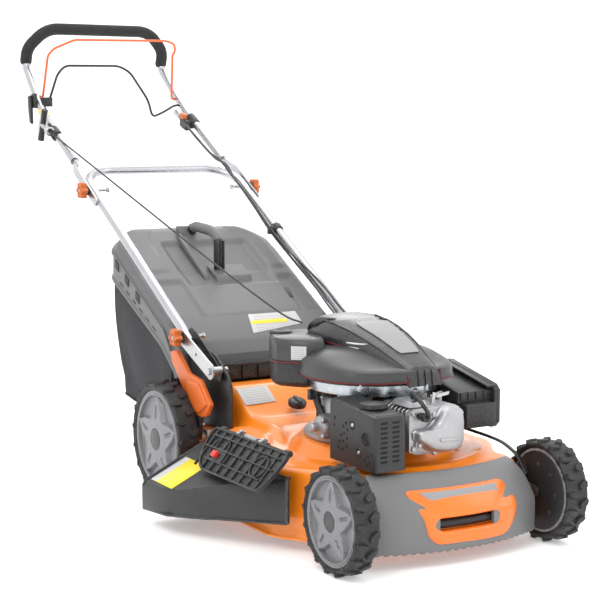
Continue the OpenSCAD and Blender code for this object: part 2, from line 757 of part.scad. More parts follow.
deck_shell();
front_bumper();
bumper_insert();
rear_housing();
handle_brackets();
axle_bushes();
gearbox();
drive_belt();
crankcase();
cylinder_head();
valve_cover();
muffler();
muffler_guard();
engine_shroud();
top_cover();
fuel_tank();
air_filter_box();
air_filter_cover();
carburettor();
dipstick_tube();
spark_plug();
deck_bolts();
wash_port();
side_chute();
crankshaft();
flywheel();
blade();
blade_bolt();
rear_axle();
height_lever();
front_axle();
height_link();
tyre_front_left();
wheel_front_left();
tyre_front_right();
wheel_front_right();
tyre_rear_left();
wheel_rear_left();
tyre_rear_right();
wheel_rear_right();
lower_handle();
lower_cables();
upper_handle();
foam_grip();
handle_fittings();
upper_cables();
knob_lower_left();
knob_lower_right();
knob_upper_left();
knob_upper_right();
brake_bail();
drive_bail();
starter_handle();
recoil_pulley();
rear_flap();
bag_lid();
bag_body();
side_flap();
fuel_cap();
dipstick();
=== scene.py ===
"""Looks of a walk-behind lawn mower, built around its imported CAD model.

Sub-parts are drawn in millimetres about the machine's centre plane, with the ground at z = 0 and
the front towards -y, and place() moves them into the frame.
"""
import json
import math

import bpy
import bmesh
import numpy as np
from mathutils import Matrix, Vector


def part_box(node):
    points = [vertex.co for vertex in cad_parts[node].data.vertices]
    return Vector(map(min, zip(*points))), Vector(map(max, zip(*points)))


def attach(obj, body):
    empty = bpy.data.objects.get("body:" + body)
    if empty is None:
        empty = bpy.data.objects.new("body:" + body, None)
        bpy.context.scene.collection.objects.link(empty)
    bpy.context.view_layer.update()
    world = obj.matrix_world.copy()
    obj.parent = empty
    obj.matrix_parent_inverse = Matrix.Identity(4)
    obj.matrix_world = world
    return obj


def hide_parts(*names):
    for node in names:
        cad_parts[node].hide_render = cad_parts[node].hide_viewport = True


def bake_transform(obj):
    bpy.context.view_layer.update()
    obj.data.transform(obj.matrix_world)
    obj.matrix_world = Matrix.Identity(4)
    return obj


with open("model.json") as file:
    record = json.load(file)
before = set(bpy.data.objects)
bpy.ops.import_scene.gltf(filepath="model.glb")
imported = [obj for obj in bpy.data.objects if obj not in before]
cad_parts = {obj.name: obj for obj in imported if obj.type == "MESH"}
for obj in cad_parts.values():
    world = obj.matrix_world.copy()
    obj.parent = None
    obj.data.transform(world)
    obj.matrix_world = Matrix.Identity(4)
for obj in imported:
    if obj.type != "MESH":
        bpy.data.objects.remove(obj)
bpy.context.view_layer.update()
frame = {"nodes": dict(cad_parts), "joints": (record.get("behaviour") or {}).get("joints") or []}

MM = 0.001
joints = {j["name"]: j for j in frame["joints"]}
crank = Vector(joints["crank_spin"]["pos_m"])
CRANK_Y = -110.0


def place(x, y, z):
    return Vector((crank.x + x * MM, crank.y + (y - CRANK_Y) * MM, z * MM))


# ---- finishes ----


class Board:
    """Short way of writing a node tree."""

    def __init__(self, tree):
        self.tree = tree

    def node(self, kind, **settings):
        made = self.tree.nodes.new(kind)
        for key, value in settings.items():
            setattr(made, key, value)
        return made

    def join(self, source, target):
        self.tree.links.new(source, target)

    def feed(self, node, **inputs):
        for key, value in inputs.items():
            socket = node.inputs[int(key[1:])] if key[0] == "i" and key[1:].isdigit() else node.inputs[key.replace("_",
                                                                                                                   " ")]
            if hasattr(value, "is_output"):
                self.join(value, socket)
            else:
                socket.default_value = value
        return node

    def noise(self, where, scale, detail=4.0, rough=0.55):
        made = self.feed(self.node("ShaderNodeTexNoise"), Vector=where, Scale=scale, Detail=detail, Roughness=rough)
        return made.outputs["Fac"]

    def span(self, value, low, high, out_low, out_high):
        made = self.node("ShaderNodeMapRange")
        self.feed(made, i0=value, i1=low, i2=high, i3=out_low, i4=out_high)
        return made.outputs[0]

    def blend_colour(self, share, first, second):
        made = self.node("ShaderNodeMix", data_type="RGBA")
        self.feed(made, i0=share, i6=first, i7=second)
        return made.outputs[2]

    def sum(self, first, second, how="ADD"):
        made = self.node("ShaderNodeMath", operation=how)
        self.feed(made, i0=first, i1=second)
        return made.outputs[0]


def shade(tint, share):
    """A tint made darker or lighter by a share."""
    return tuple(min(1.0, c * share) for c in tint[:3]) + (1.0,)


def finish(name, tint, rough, metal=0.0, mottle=0.10, patch=14.0, grain=0.0, grain_scale=900.0, rough_spread=0.08,
           coat=0.0, edge=None, dust=None, pattern=None):
    """Procedural finish: colour mottling, uneven gloss, surface grain, worn edges and dust low down."""
    mat = bpy.data.materials.new(name)
    mat.use_nodes = True
    board = Board(mat.node_tree)
    shader = mat.node_tree.nodes["Principled BSDF"]
    where = board.node("ShaderNodeTexCoord").outputs["Object"]
    broad = board.noise(where, patch, 5.0)
    fine = board.noise(where, patch * 14, 4.0)
    colour = board.blend_colour(board.span(broad, 0.3, 0.7, 0.0, 1.0), shade(tint, 1 - mottle), shade(tint, 1 + mottle))
    colour = board.blend_colour(board.span(fine, 0.55, 0.75, 0.0, 0.35), colour, shade(tint, 1 - 1.6 * mottle))
    gloss = board.span(board.sum(broad, fine, "MULTIPLY"), 0.12, 0.42, rough - rough_spread, rough + rough_spread)
    height = board.noise(where, grain_scale, 3.0)
    if pattern:
        colour, gloss, height = pattern(board, where, colour, gloss, height)
    if edge:
        pointed = board.node("ShaderNodeNewGeometry").outputs["Pointiness"]
        scuff = board.sum(board.span(pointed, 0.52, 0.60, 0.0, 1.0), board.span(fine, 0.45, 0.6, 0.0, 1.0), "MULTIPLY")
        colour = board.blend_colour(scuff, colour, edge)
    if dust:
        height_of = board.node("ShaderNodeSeparateXYZ")
        board.join(where, height_of.inputs[0])
        low = board.span(height_of.outputs[2], 0.0, dust[1], dust[2], 0.0)
        colour = board.blend_colour(board.sum(low, fine, "MULTIPLY"), colour, dust[0])
    board.join(colour, shader.inputs["Base Color"])
    board.join(gloss, shader.inputs["Roughness"])
    shader.inputs["Metallic"].default_value = metal
    shader.inputs["Coat Weight"].default_value = coat
    shader.inputs["Coat Roughness"].default_value = 0.12
    if grain:
        bump = board.node("ShaderNodeBump")
        board.feed(bump, Strength=grain, Distance=0.0006, Height=height)
        board.join(bump.outputs[0], shader.inputs["Normal"])
    return mat


def brushed(board, where, colour, gloss, height):
    """Fine drawing lines along the tube, from its own length and girth."""
    along = board.node("ShaderNodeUVMap", uv_map="run")
    stretch = board.node("ShaderNodeMapping")
    board.feed(stretch, Vector=along.outputs[0], Scale=(70.0, 1.2, 1.0))
    lines = board.noise(stretch.outputs[0], 9.0, 6.0)
    colour = board.blend_colour(board.span(lines, 0.35, 0.7, 0.0, 0.35), colour, (0.30, 0.30, 0.32, 1))
    return colour, board.sum(gloss, board.span(lines, 0.3, 0.7, -0.05, 0.07)), lines


def cast_skin(board, where, colour, gloss, height):
    """Sand-cast skin: coarse pits over a fine grain, with painted shade darkening the pits."""
    pits = board.node("ShaderNodeTexVoronoi")
    board.feed(pits, Vector=where, Scale=420.0)
    hollow = board.span(pits.outputs["Distance"], 0.0, 0.5, 0.0, 1.0)
    # Painted shade: the pits are blended towards dark grey where the cast skin dips.
    colour = board.blend_colour(board.span(hollow, 0.0, 0.35, 0.35, 0.0), colour, (0.22, 0.22, 0.22, 1))
    return colour, gloss, board.sum(board.sum(hollow, 0.6, "MULTIPLY"), height)


def woven(board, where, colour, gloss, height):
    """Plain weave of coarse yarn, over the cloth's own map in metres, with painted shade in the low gaps between the
    yarns.
    """
    spot = board.node("ShaderNodeSeparateXYZ")
    board.join(board.node("ShaderNodeUVMap", uv_map="cloth").outputs[0], spot.inputs[0])
    waves = []
    for axis, pitch in ((0, 2600.0), (1, 2600.0)):
        angle = board.sum(spot.outputs[axis], pitch, "MULTIPLY")
        waves.append(board.node("ShaderNodeMath", operation="SINE"))
        board.join(angle, waves[-1].inputs[0])
    yarn = board.sum(waves[0].outputs[0], waves[1].outputs[0], "MULTIPLY")
    lift = board.span(yarn, -1.0, 1.0, 0.0, 1.0)
    # Painted shade: near-black where the weave sits low, between the yarns.
    colour = board.blend_colour(board.span(lift, 0.0, 1.0, 0.45, 0.0), colour, (0.008, 0.008, 0.009, 1))
    return colour, gloss, lift


def twisted(board, where, colour, gloss, height):
    """Laid strands round a rope or a cable's ribs, from its own length and girth, with painted shade in the grooves
    between them.
    """
    spot = board.node("ShaderNodeSeparateXYZ")
    board.join(board.node("ShaderNodeUVMap", uv_map="run").outputs[0], spot.inputs[0])
    lay = board.sum(board.sum(spot.outputs[1], 900.0, "MULTIPLY"), board.sum(spot.outputs[0], 12.566, "MULTIPLY"))
    wave = board.node("ShaderNodeMath", operation="SINE")
    board.join(lay, wave.inputs[0])
    lift = board.span(wave.outputs[0], -1.0, 1.0, 0.0, 1.0)
    # Painted shade: near-black in the grooves between the strands.
    colour = board.blend_colour(board.span(lift, 0.0, 0.6, 0.5, 0.0), colour, (0.006, 0.006, 0.006, 1))
    return colour, gloss, lift


def cells(board, where, colour, gloss, height):
    """Open cells of foam rubber, with painted shade darkening the pores."""
    pores = board.node("ShaderNodeTexVoronoi")
    board.feed(pores, Vector=where, Scale=780.0)
    hollow = board.span(pores.outputs["Distance"], 0.05, 0.45, 0.0, 1.0)
    # Painted shade: the pores are blended towards black where the foam dips.
    colour = board.blend_colour(board.span(hollow, 0.0, 0.6, 0.7, 0.0), colour, (0.002, 0.002, 0.002, 1))
    return colour, gloss, hollow


def printed(board, where, colour, gloss, height):
    """Rows of plain grey bars, as on a blank printed form."""
    spot = board.node("ShaderNodeSeparateXYZ")
    board.join(board.node("ShaderNodeUVMap", uv_map="face").outputs[0], spot.inputs[0])
    rows = board.node("ShaderNodeMath", operation="FRACT")
    board.join(board.sum(spot.outputs[1], 7.0, "MULTIPLY"), rows.inputs[0])
    inside = board.sum(board.sum(rows.outputs[0], 0.58, "GREATER_THAN"),
                       board.sum(spot.outputs[0], 0.10, "GREATER_THAN"), "MULTIPLY")
    inside = board.sum(inside, board.sum(spot.outputs[0], 0.88, "LESS_THAN"), "MULTIPLY")
    return board.blend_colour(board.sum(inside, 0.35, "MULTIPLY"), colour, (0.12, 0.12, 0.12, 1)), gloss, height


def wheel_dust(board, where, colour, gloss, height):
    """Chalky handling marks on rubber."""
    marks = board.span(board.noise(where, 60.0, 8.0, 0.7), 0.52, 0.72, 0.0, 0.45)
    return board.blend_colour(marks, colour, (0.075, 0.075, 0.078, 1)), gloss, height


EARTH = (0.20, 0.13, 0.07, 1)
DECK_PAINT = finish("deck_paint", (0.90, 0.225, 0.005), 0.38, mottle=0.03, patch=5, grain=0.10, grain_scale=240,
                    coat=0.35, edge=(0.93, 0.34, 0.06, 1), dust=(EARTH, 0.10, 0.30))
GUARD_GREY = finish("bumper_plastic", (0.150, 0.151, 0.154), 0.46, mottle=0.04, grain=0.12, grain_scale=1400)
GUARD_ORANGE = finish("insert_plastic", (0.88, 0.165, 0.008), 0.30, mottle=0.03, grain=0.06, grain_scale=900, coat=0.25,
                      edge=(0.9, 0.22, 0.06, 1))
BLACK_PLASTIC = finish("black_plastic", (0.010, 0.010, 0.011), 0.46, mottle=0.14, grain=0.12, grain_scale=1300,
                       edge=(0.05, 0.05, 0.05, 1))
SOFT_BLACK = finish("flap_plastic", (0.017, 0.0175, 0.019), 0.50, mottle=0.12, grain=0.15, grain_scale=1200,
                    edge=(0.06, 0.06, 0.06, 1))
COWL = finish("cowl_plastic", (0.036, 0.036, 0.037), 0.40, mottle=0.05, grain=0.07, grain_scale=1500)
COWL_DARK = finish("hood_plastic", (0.028, 0.028, 0.030), 0.32, mottle=0.05, grain=0.05, grain_scale=1500, coat=0.1)
SEAM_RED = finish("seam_red", (0.12, 0.004, 0.006), 0.35, mottle=0.1)
PLATED = finish("plated_steel", (0.46, 0.465, 0.475), 0.34, 0.95, mottle=0.10, grain=0.08, grain_scale=500)
BAND = finish("fan_band_steel", (0.42, 0.455, 0.48), 0.28, 0.95, mottle=0.08, grain=0.05, grain_scale=300)
TUBE = finish("tube_steel", (0.47, 0.47, 0.495), 0.26, 0.95, mottle=0.05, grain=0.05, pattern=brushed)
CAST = finish("cast_metal", (0.40, 0.40, 0.41), 0.44, 0.75, mottle=0.12, patch=22, grain=0.30, pattern=cast_skin)
DARK_STEEL = finish("dark_steel", (0.020, 0.020, 0.021), 0.45, 0.4, mottle=0.12, grain=0.16, grain_scale=700)
HEAT_PAINT = finish("guard_paint", (0.024, 0.024, 0.026), 0.46, 0.1, mottle=0.06, grain=0.10, grain_scale=800)
AXLE = finish("axle_steel", (0.17, 0.17, 0.18), 0.36, 0.9, mottle=0.15, grain=0.10)
IRON = finish("cast_iron", (0.10, 0.10, 0.10), 0.55, 0.7, mottle=0.2, grain=0.4, grain_scale=500)
RUBBER = finish("tyre_rubber", (0.011, 0.011, 0.012), 0.60, mottle=0.2, patch=30, grain=0.22, grain_scale=700,
                pattern=wheel_dust)
HUB = finish("hub_plastic", (0.185, 0.185, 0.195), 0.42, 0.15, mottle=0.05, grain=0.08, grain_scale=1100,
             edge=(0.36, 0.36, 0.37, 1))
HUB_CAP = finish("hub_cap_plastic", (0.036, 0.037, 0.040), 0.42, mottle=0.08, grain=0.1)
BELT = finish("belt_rubber", (0.02, 0.02, 0.02), 0.6, mottle=0.2, grain=0.3)
FOAM = finish("grip_foam", (0.013, 0.013, 0.013), 0.80, mottle=0.2, grain=0.55, pattern=cells)
BAIL_ORANGE = finish("bail_coating", (0.80, 0.115, 0.018), 0.33, mottle=0.05, grain=0.1, coat=0.15)
KNOB_ORANGE = finish("knob_plastic", (0.50, 0.110, 0.014), 0.38, mottle=0.06, grain=0.12, grain_scale=1200)
LEVER_ORANGE = finish("lever_plastic", (0.60, 0.120, 0.014), 0.42, mottle=0.05, grain=0.14, grain_scale=1100,
                      edge=(0.85, 0.22, 0.06, 1))
BAIL_BLACK = finish("bail_paint", (0.012, 0.012, 0.012), 0.30, mottle=0.15, grain=0.08)
LID_GREY = finish("lid_plastic", (0.128, 0.129, 0.131), 0.48, mottle=0.04, grain=0.10, grain_scale=1300)
LID_DARK = finish("lid_band_plastic", (0.040, 0.040, 0.042), 0.46, mottle=0.05, grain=0.14, grain_scale=1300)
CLOTH = finish("bag_fabric", (0.028, 0.027, 0.032), 0.80, mottle=0.14, patch=8, grain=0.6, pattern=woven)
WHITE_NYLON = finish("pulley_nylon", (0.70, 0.70, 0.68), 0.45, mottle=0.05, grain=0.06)
CABLE = finish("cable_sheath", (0.016, 0.016, 0.017), 0.42, mottle=0.2, grain=0.10, pattern=twisted)
ROPE = finish("starter_rope", (0.050, 0.050, 0.052), 0.70, mottle=0.2, grain=0.8, pattern=twisted)
BLANK_WHITE = finish("blank_label", (0.50, 0.50, 0.50), 0.45, mottle=0.03, grain=0.02, pattern=printed)
BLANK_YELLOW = finish("yellow_label", (0.80, 0.62, 0.02), 0.33, mottle=0.04, grain=0.02)
BADGE = finish("badge_silver", (0.27, 0.27, 0.275), 0.46, mottle=0.03, grain=0.03)
# Painted shade: near-black finish standing in for the shaded insides of the heat guard's holes and slots.
HOLE_SHADE = finish("painted_hole_shade", (0.003, 0.003, 0.003), 0.85, mottle=0.3, grain=0.1)
RED = finish("red_plastic", (0.62, 0.03, 0.02), 0.32, mottle=0.08, grain=0.05)


# ---- making sub-parts ----


class Form:
    """Faces of one sub-part, gathered from simple solids, in the machine's millimetres."""

    def __init__(self):
        self.verts, self.faces, self.spots = [], [], []

    def add(self, verts, faces, spots=None, turn=None):
        base = len(self.verts)
        if turn is not None:
            verts = [tuple(turn @ Vector(v)) for v in verts]
        self.verts += [tuple(v) for v in verts]
        self.faces += [tuple(base + i for i in f) for f in faces]
        self.spots += list(spots) if spots else [(0.0, 0.0)] * len(verts)
        return self

    def grid(self, rows, wrap=False, caps=(False, False), spots=None, turn=None):
        """Skin over rows of points; wrap closes each row into a ring."""
        n, m = len(rows[0]), len(rows)
        faces = []
        for i in range(m - 1):
            for k in range(n if wrap else n - 1):
                a, b = i * n + k, i * n + (k + 1) % n
                faces.append((a, b, b + n, a + n))
        if caps[0]:
            faces.append(tuple(range(n - 1, -1, -1)))
        if caps[1]:
            faces.append(tuple((m - 1) * n + k for k in range(n)))
        flat = [p for row in rows for p in row]
        return self.add(flat, faces, [s for row in spots for s in row] if spots else None, turn)

    def box(self, low, high, turn=None):
        (a, b, c), (d, e, f) = low, high
        rows = [[(a, b, z), (d, b, z), (d, e, z), (a, e, z)] for z in (c, f)]
        return self.grid(rows, True, (True, True), turn=turn)

    def prism(self, outline, low, high, axis="x", turn=None):
        """Outline pushed along an axis: (y, z) for x, (x, z) for y, (x, y) for z."""
        put = {"x": lambda u, v, w: (w, u, v), "y": lambda u, v, w: (u, w, v), "z": lambda u, v, w: (u, v, w)}[axis]
        rows = [[put(u, v, w) for u, v in outline] for w in (low, high)]
        return self.grid(rows, True, (True, True), turn=turn)

    def lathe(self, profile, at, axis="z", steps=48, turn=None):
        """Profile of (radius, height) turned about an axis through a place."""
        rows = []
        for r, h in profile:
            ring = []
            for k in range(steps):
                a = 2 * math.pi * k / steps
                u, v = r * math.cos(a), r * math.sin(a)
                p = {"z": (u, v, h), "x": (h, u, v), "y": (u, h, v)}[axis]
                ring.append(tuple(p[i] + at[i] for i in range(3)))
            rows.append(ring)
        closed = profile[0] == profile[-1]
        return self.grid(rows, True, (not closed, not closed), turn=turn)

    def tube(self, path, radius, steps=16, flat=1.0, up=None):
        """Round bar along a smooth path; radius is a number or a function of the share of the length."""
        pts = [Vector(p) for p in path]
        runs = [0.0]
        for a, b in zip(pts, pts[1:]):
            runs.append(runs[-1] + (b - a).length)
        side = None
        rows, spots = [], []
        for i, p in enumerate(pts):
            along = (pts[min(i + 1, len(pts) - 1)] - pts[max(i - 1, 0)]).normalized()
            if side is None:
                side = along.cross(Vector(up) if up else Vector((0.13, 0.21, 0.97))).normalized()
            side = (side - along * side.dot(along)).normalized()
            other = along.cross(side)
            r = radius(runs[i] / runs[-1]) if callable(radius) else radius
            ring = [tuple(p + (side * math.cos(a) + other * (flat * math.sin(a))) * r)
                    for a in (2 * math.pi * k / steps for k in range(steps))]
            rows.append(ring)
            spots.append([(k / steps, runs[i] * MM) for k in range(steps)])
        return self.grid(rows, True, (True, True), spots)

    def hex(self, at, axis, size, thick):
        """Hexagon head of a bolt or nut."""
        return self.lathe([(size * 0.86, 0), (size, thick * 0.12), (size, thick * 0.8), (size * 0.86, thick)], at,
                          axis, 6)


def rounded(points, radius, steps=7):
    """Path with its corners rounded."""
    pts = [Vector(p) for p in points]
    out = [pts[0]]
    for a, b, c in zip(pts, pts[1:], pts[2:]):
        reach = min(radius, (b - a).length * 0.48, (c - b).length * 0.48)
        p, q = b + (a - b).normalized() * reach, b + (c - b).normalized() * reach
        out += [p.lerp(b, t).lerp(b.lerp(q, t), t) for t in (k / steps for k in range(steps + 1))]
    return out + [pts[-1]]


def spaced(path, gap):
    """The same path with extra points, no further apart than gap."""
    out = [Vector(path[0])]
    for a, b in zip(path, path[1:]):
        a, b = Vector(a), Vector(b)
        n = max(1, math.ceil((b - a).length / gap))
        out += [a.lerp(b, k / n) for k in range(1, n + 1)]
    return out


def smooth_path(points, per=8):
    """Flowing curve through every point."""
    pts = [Vector(p) for p in points]
    pts = [pts[0] * 2 - pts[1]] + pts + [pts[-1] * 2 - pts[-2]]
    out = []
    for i in range(1, len(pts) - 2):
        a, b, c, d = pts[i - 1:i + 3]
        for k in range(per):
            t = k / per
            out.append(0.5 * (2 * b + (c - a) * t + (2 * a - 5 * b + 4 * c - d) * t * t + (3 * b - a - 3 * c + d) * t ** 3))
    return out + [pts[-2]]


def ease(value, low, high):
    t = min(1.0, max(0.0, (value - low) / (high - low)))
    return t * t * (3 - 2 * t)


def raise_in(u, v, low_u, high_u, low_v, high_v, soft):
    """1 inside a rectangle and 0 outside, with soft shoulders."""
    return (ease(u, low_u - soft, low_u + soft) * (1 - ease(u, high_u - soft, high_u + soft))
            * ease(v, low_v - soft, low_v + soft) * (1 - ease(v, high_v - soft, high_v + soft)))


def settle(obj):
    """Turn live modifiers into the piece's own mesh."""
    made = bpy.data.meshes.new_from_object(obj.evaluated_get(bpy.context.evaluated_depsgraph_get()))
    old = obj.data
    obj.modifiers.clear()
    obj.data = made
    bpy.data.meshes.remove(old)
    return obj


def mesh_object(name, form, mat, uv=None, turn_out=True):
    mesh = bpy.data.meshes.new(name)
    mesh.from_pydata([place(*v) for v in form.verts], [], form.faces)
    if uv:
        layer = mesh.uv_layers.new(name=uv)
        for loop in mesh.loops:
            layer.data[loop.index].uv = form.spots[loop.vertex_index]
    kit = bmesh.new()
    kit.from_mesh(mesh)
    bmesh.ops.remove_doubles(kit, verts=kit.verts, dist=2e-6)
    if turn_out:
        bmesh.ops.recalc_face_normals(kit, faces=kit.faces)
    kit.to_mesh(mesh)
    kit.free()
    mesh.materials.append(mat)
    obj = bpy.data.objects.new(name, mesh)
    bpy.context.scene.collection.objects.link(obj)
    return obj


def soften(obj, crease=32):
    for face in obj.data.polygons:
        face.use_smooth = True
    obj.data.set_sharp_from_angle(angle=math.radians(crease))
    return obj


def piece(name, form, mat, body, slot, stands_for=(), bevel=0.0, segments=2, wall=0.0, uv=None, crease=32,
          ride=True, turn_out=True):
    """One finished sub-part on its body: bevelled edges, and a wall thickness where it is a skin."""
    obj = mesh_object(name, form, mat, uv, turn_out)
    if wall:
        skin = obj.modifiers.new("wall", "SOLIDIFY")
        skin.thickness, skin.offset = wall * MM, -1
    if bevel:
        edge = obj.modifiers.new("edge", "BEVEL")
        edge.width, edge.segments, edge.limit_method, edge.angle_limit = bevel * MM, segments, "ANGLE", math.radians(38)
        edge.harden_normals = False
    if wall or bevel:
        settle(obj)
    soften(obj, crease)
    return fasten(obj, body, slot, stands_for) if ride else obj


def fasten(obj, body, slot, stands_for=()):
    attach(obj, body)
    if stands_for:
        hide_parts(*stands_for)
    return obj


# ---- repeated details by Geometry Nodes ----


def socket_id(tree, name):
    return next(i.identifier for i in tree.interface.items_tree if i.name == name and i.in_out == "INPUT")


def repeat_tree(name, round_about):
    """Tree that repeats a small shape round the X axis, or in rows and columns."""
    tree = bpy.data.node_groups.new(name, "GeometryNodeTree")
    board = Board(tree)
    face = tree.interface
    face.new_socket("Shape", in_out="INPUT", socket_type="NodeSocketObject")
    face.new_socket("Finish", in_out="INPUT", socket_type="NodeSocketMaterial")
    face.new_socket("Count", in_out="INPUT", socket_type="NodeSocketInt")
    face.new_socket("Columns", in_out="INPUT", socket_type="NodeSocketInt")
    for label in ("Start", "Step", "Row Step"):
        face.new_socket(label, in_out="INPUT", socket_type="NodeSocketVector")
    for label in ("Slant", "Stagger"):
        face.new_socket(label, in_out="INPUT", socket_type="NodeSocketFloat")
    face.new_socket("Geometry", in_out="OUTPUT", socket_type="NodeSocketGeometry")
    given = board.node("NodeGroupInput").outputs
    index = board.node("GeometryNodeInputIndex").outputs[0]
    shape = board.node("GeometryNodeObjectInfo")
    board.join(given["Shape"], shape.inputs["Object"])
    sets = board.node("GeometryNodeInstanceOnPoints")
    points = board.node("GeometryNodePoints")
    board.join(given["Count"], points.inputs["Count"])

    def vector(operation, a, b=None, scale=None):
        made = board.node("ShaderNodeVectorMath", operation=operation)
        board.join(a, made.inputs[0])
        if b is not None:
            board.join(b, made.inputs[1])
        if scale is not None:
            board.join(scale, made.inputs["Scale"])
        return made.outputs[0]

    if round_about:
        side = board.span(board.sum(index, 2.0, "MODULO"), 0.0, 1.0, -1.0, 1.0)
        shift = board.node("ShaderNodeCombineXYZ")
        board.join(board.sum(side, given["Stagger"], "MULTIPLY"), shift.inputs[0])
        board.join(vector("ADD", given["Start"], shift.outputs[0]), points.inputs["Position"])
        lean = board.node("ShaderNodeCombineXYZ")
        board.join(board.sum(side, given["Slant"], "MULTIPLY"), lean.inputs[2])
        board.join(lean.outputs[0], sets.inputs["Rotation"])
        angle = board.sum(index, board.sum(2 * math.pi, given["Count"], "DIVIDE"), "MULTIPLY")
        turn = board.node("ShaderNodeCombineXYZ")
        board.join(angle, turn.inputs[0])
        spin = board.node("GeometryNodeRotateInstances")
        spin.inputs["Local Space"].default_value = False
        board.join(sets.outputs[0], spin.inputs["Instances"])
        board.join(turn.outputs[0], spin.inputs["Rotation"])
        last = spin.outputs[0]
    else:
        column = board.sum(index, given["Columns"], "MODULO")
        row = board.node("ShaderNodeMath", operation="FLOOR")
        board.join(board.sum(index, given["Columns"], "DIVIDE"), row.inputs[0])
        spot = vector("ADD", given["Start"], vector("SCALE", given["Step"], scale=column))
        spot = vector("ADD", spot, vector("SCALE", given["Row Step"], scale=row.outputs[0]))
        board.join(spot, points.inputs["Position"])
        last = sets.outputs[0]
    board.join(points.outputs[0], sets.inputs["Points"])
    board.join(shape.outputs["Geometry"], sets.inputs["Instance"])
    real = board.node("GeometryNodeRealizeInstances")
    paint = board.node("GeometryNodeSetMaterial")
    board.join(last, real.inputs[0])
    board.join(real.outputs[0], paint.inputs["Geometry"])
    board.join(given["Finish"], paint.inputs["Material"])
    board.join(paint.outputs[0], board.node("NodeGroupOutput").inputs[0])
    return tree


RING_TREE = repeat_tree("ring_of_details", True)
ROWS_TREE = repeat_tree("rows_of_details", False)


def repeated(name, shape, mat, count, start, tree=None, step=(0, 0, 0), row_step=(0, 0, 0), columns=1000, slant=0.0,
             stagger=0.0, bevel=0.0, centre=None):
    """Copies of a small shape, drawn about zero in millimetres, as one plain mesh."""
    tree = tree or ROWS_TREE
    proto = mesh_object(name + "_one", shape, mat)
    zero = place(0, 0, 0)
    proto.data.transform(Matrix.Translation(-zero))
    if bevel:
        edge = proto.modifiers.new("edge", "BEVEL")
        edge.width, edge.segments = bevel * MM, 1
        settle(proto)
    holder = bpy.data.objects.new(name, bpy.data.meshes.new(name))
    bpy.context.scene.collection.objects.link(holder)
    mod = holder.modifiers.new("repeat", "NODES")
    mod.node_group = tree
    values = {"Shape": proto, "Finish": mat, "Count": count, "Columns": columns, "Start": [c * MM for c in start],
              "Step": [c * MM for c in step], "Row Step": [c * MM for c in row_step], "Slant": slant,
              "Stagger": stagger * MM}
    for label, value in values.items():
        mod[socket_id(tree, label)] = value
    settle(holder)
    holder.data.transform(Matrix.Translation(place(*centre) if centre else zero))
    bpy.data.objects.remove(proto)
    return holder


def merged(name, *objs):
    """Several meshes made one, keeping their finishes."""
    kit = bmesh.new()
    mats = []
    for obj in objs:
        start = len(kit.faces)
        kit.from_mesh(obj.data)
        kit.faces.ensure_lookup_table()
        for mat in obj.data.materials:
            if mat not in mats:
                mats.append(mat)
        for face in kit.faces[start:]:
            face.material_index = mats.index(obj.data.materials[face.material_index])
    mesh = bpy.data.meshes.new(name)
    kit.to_mesh(mesh)
    kit.free()
    for mat in mats:
        mesh.materials.append(mat)
    made = bpy.data.objects.new(name, mesh)
    bpy.context.scene.collection.objects.link(made)
    for obj in objs:
        bpy.data.objects.remove(obj)
    return made


def cut(obj, cutter):
    """Take the cutter's shape out of a piece."""
    mod = obj.modifiers.new("cut", "BOOLEAN")
    mod.operation, mod.object, mod.solver = "DIFFERENCE", cutter, "EXACT"
    settle(obj)
    bpy.data.objects.remove(cutter)
    return obj


# ---- deck ----

DECK_TOP, PLINTH_TOP, SKIRT = 160.0, 188.0, 24.0
DECK_OUTLINE = [(130, -366), (200, -330), (200, -260), (211.5, -245), (221.6, -227.8), (240, -200), (262, -165),
                (262, 128),
                (233, 158), (205, 180), (205, 300)]
LEFT_WALL_OPENING = ((-160, 35), (62, 146))


def outline_ring(count):
    """Deck outline as evenly spread points, corners rounded, round from the front's middle."""
    half = [Vector((x, y, 0)) for x, y in DECK_OUTLINE]
    loop = [Vector((0, -368, 0))] + half + [Vector((0, 300, 0))]
    loop += [Vector((-p.x, p.y, 0)) for p in reversed(half)] + [Vector((0, -368, 0))]
    path = spaced(rounded(loop, 22, 6), 3.0)
    runs = np.cumsum([0] + [(b - a).length for a, b in zip(path, path[1:])])
    spots = np.linspace(0, runs[-1], count, endpoint=False)
    return [(float(np.interp(s, runs, [p.x for p in path])), float(np.interp(s, runs, [p.y for p in path])))
            for s in spots]


def deck_height(x, y):
    """Height of the pressed top: flat, a round plinth under the engine, a volute ridge and the rear tunnel."""
    far = math.hypot(x, y - CRANK_Y)
    top = DECK_TOP + (PLINTH_TOP - DECK_TOP) * (1 - ease(far, 143, 172))
    side = 1 - ease(abs(x), 140, 166)
    rise = 28 * ease(y, -60, 60) + 57 * ease(y, 120, 236)
    top = max(top, DECK_TOP + side * rise)
    bead = math.exp(-((far - 214) / 9.0) ** 2) * (1 - ease(y, 60, 110))
    left_bulge = 18 * math.exp(-((x + 176) / 34.0) ** 2) * ease(y, -60, 40) * (1 - ease(y, 120, 190))
    return top + 5.0 * bead * (top < 175) + left_bulge


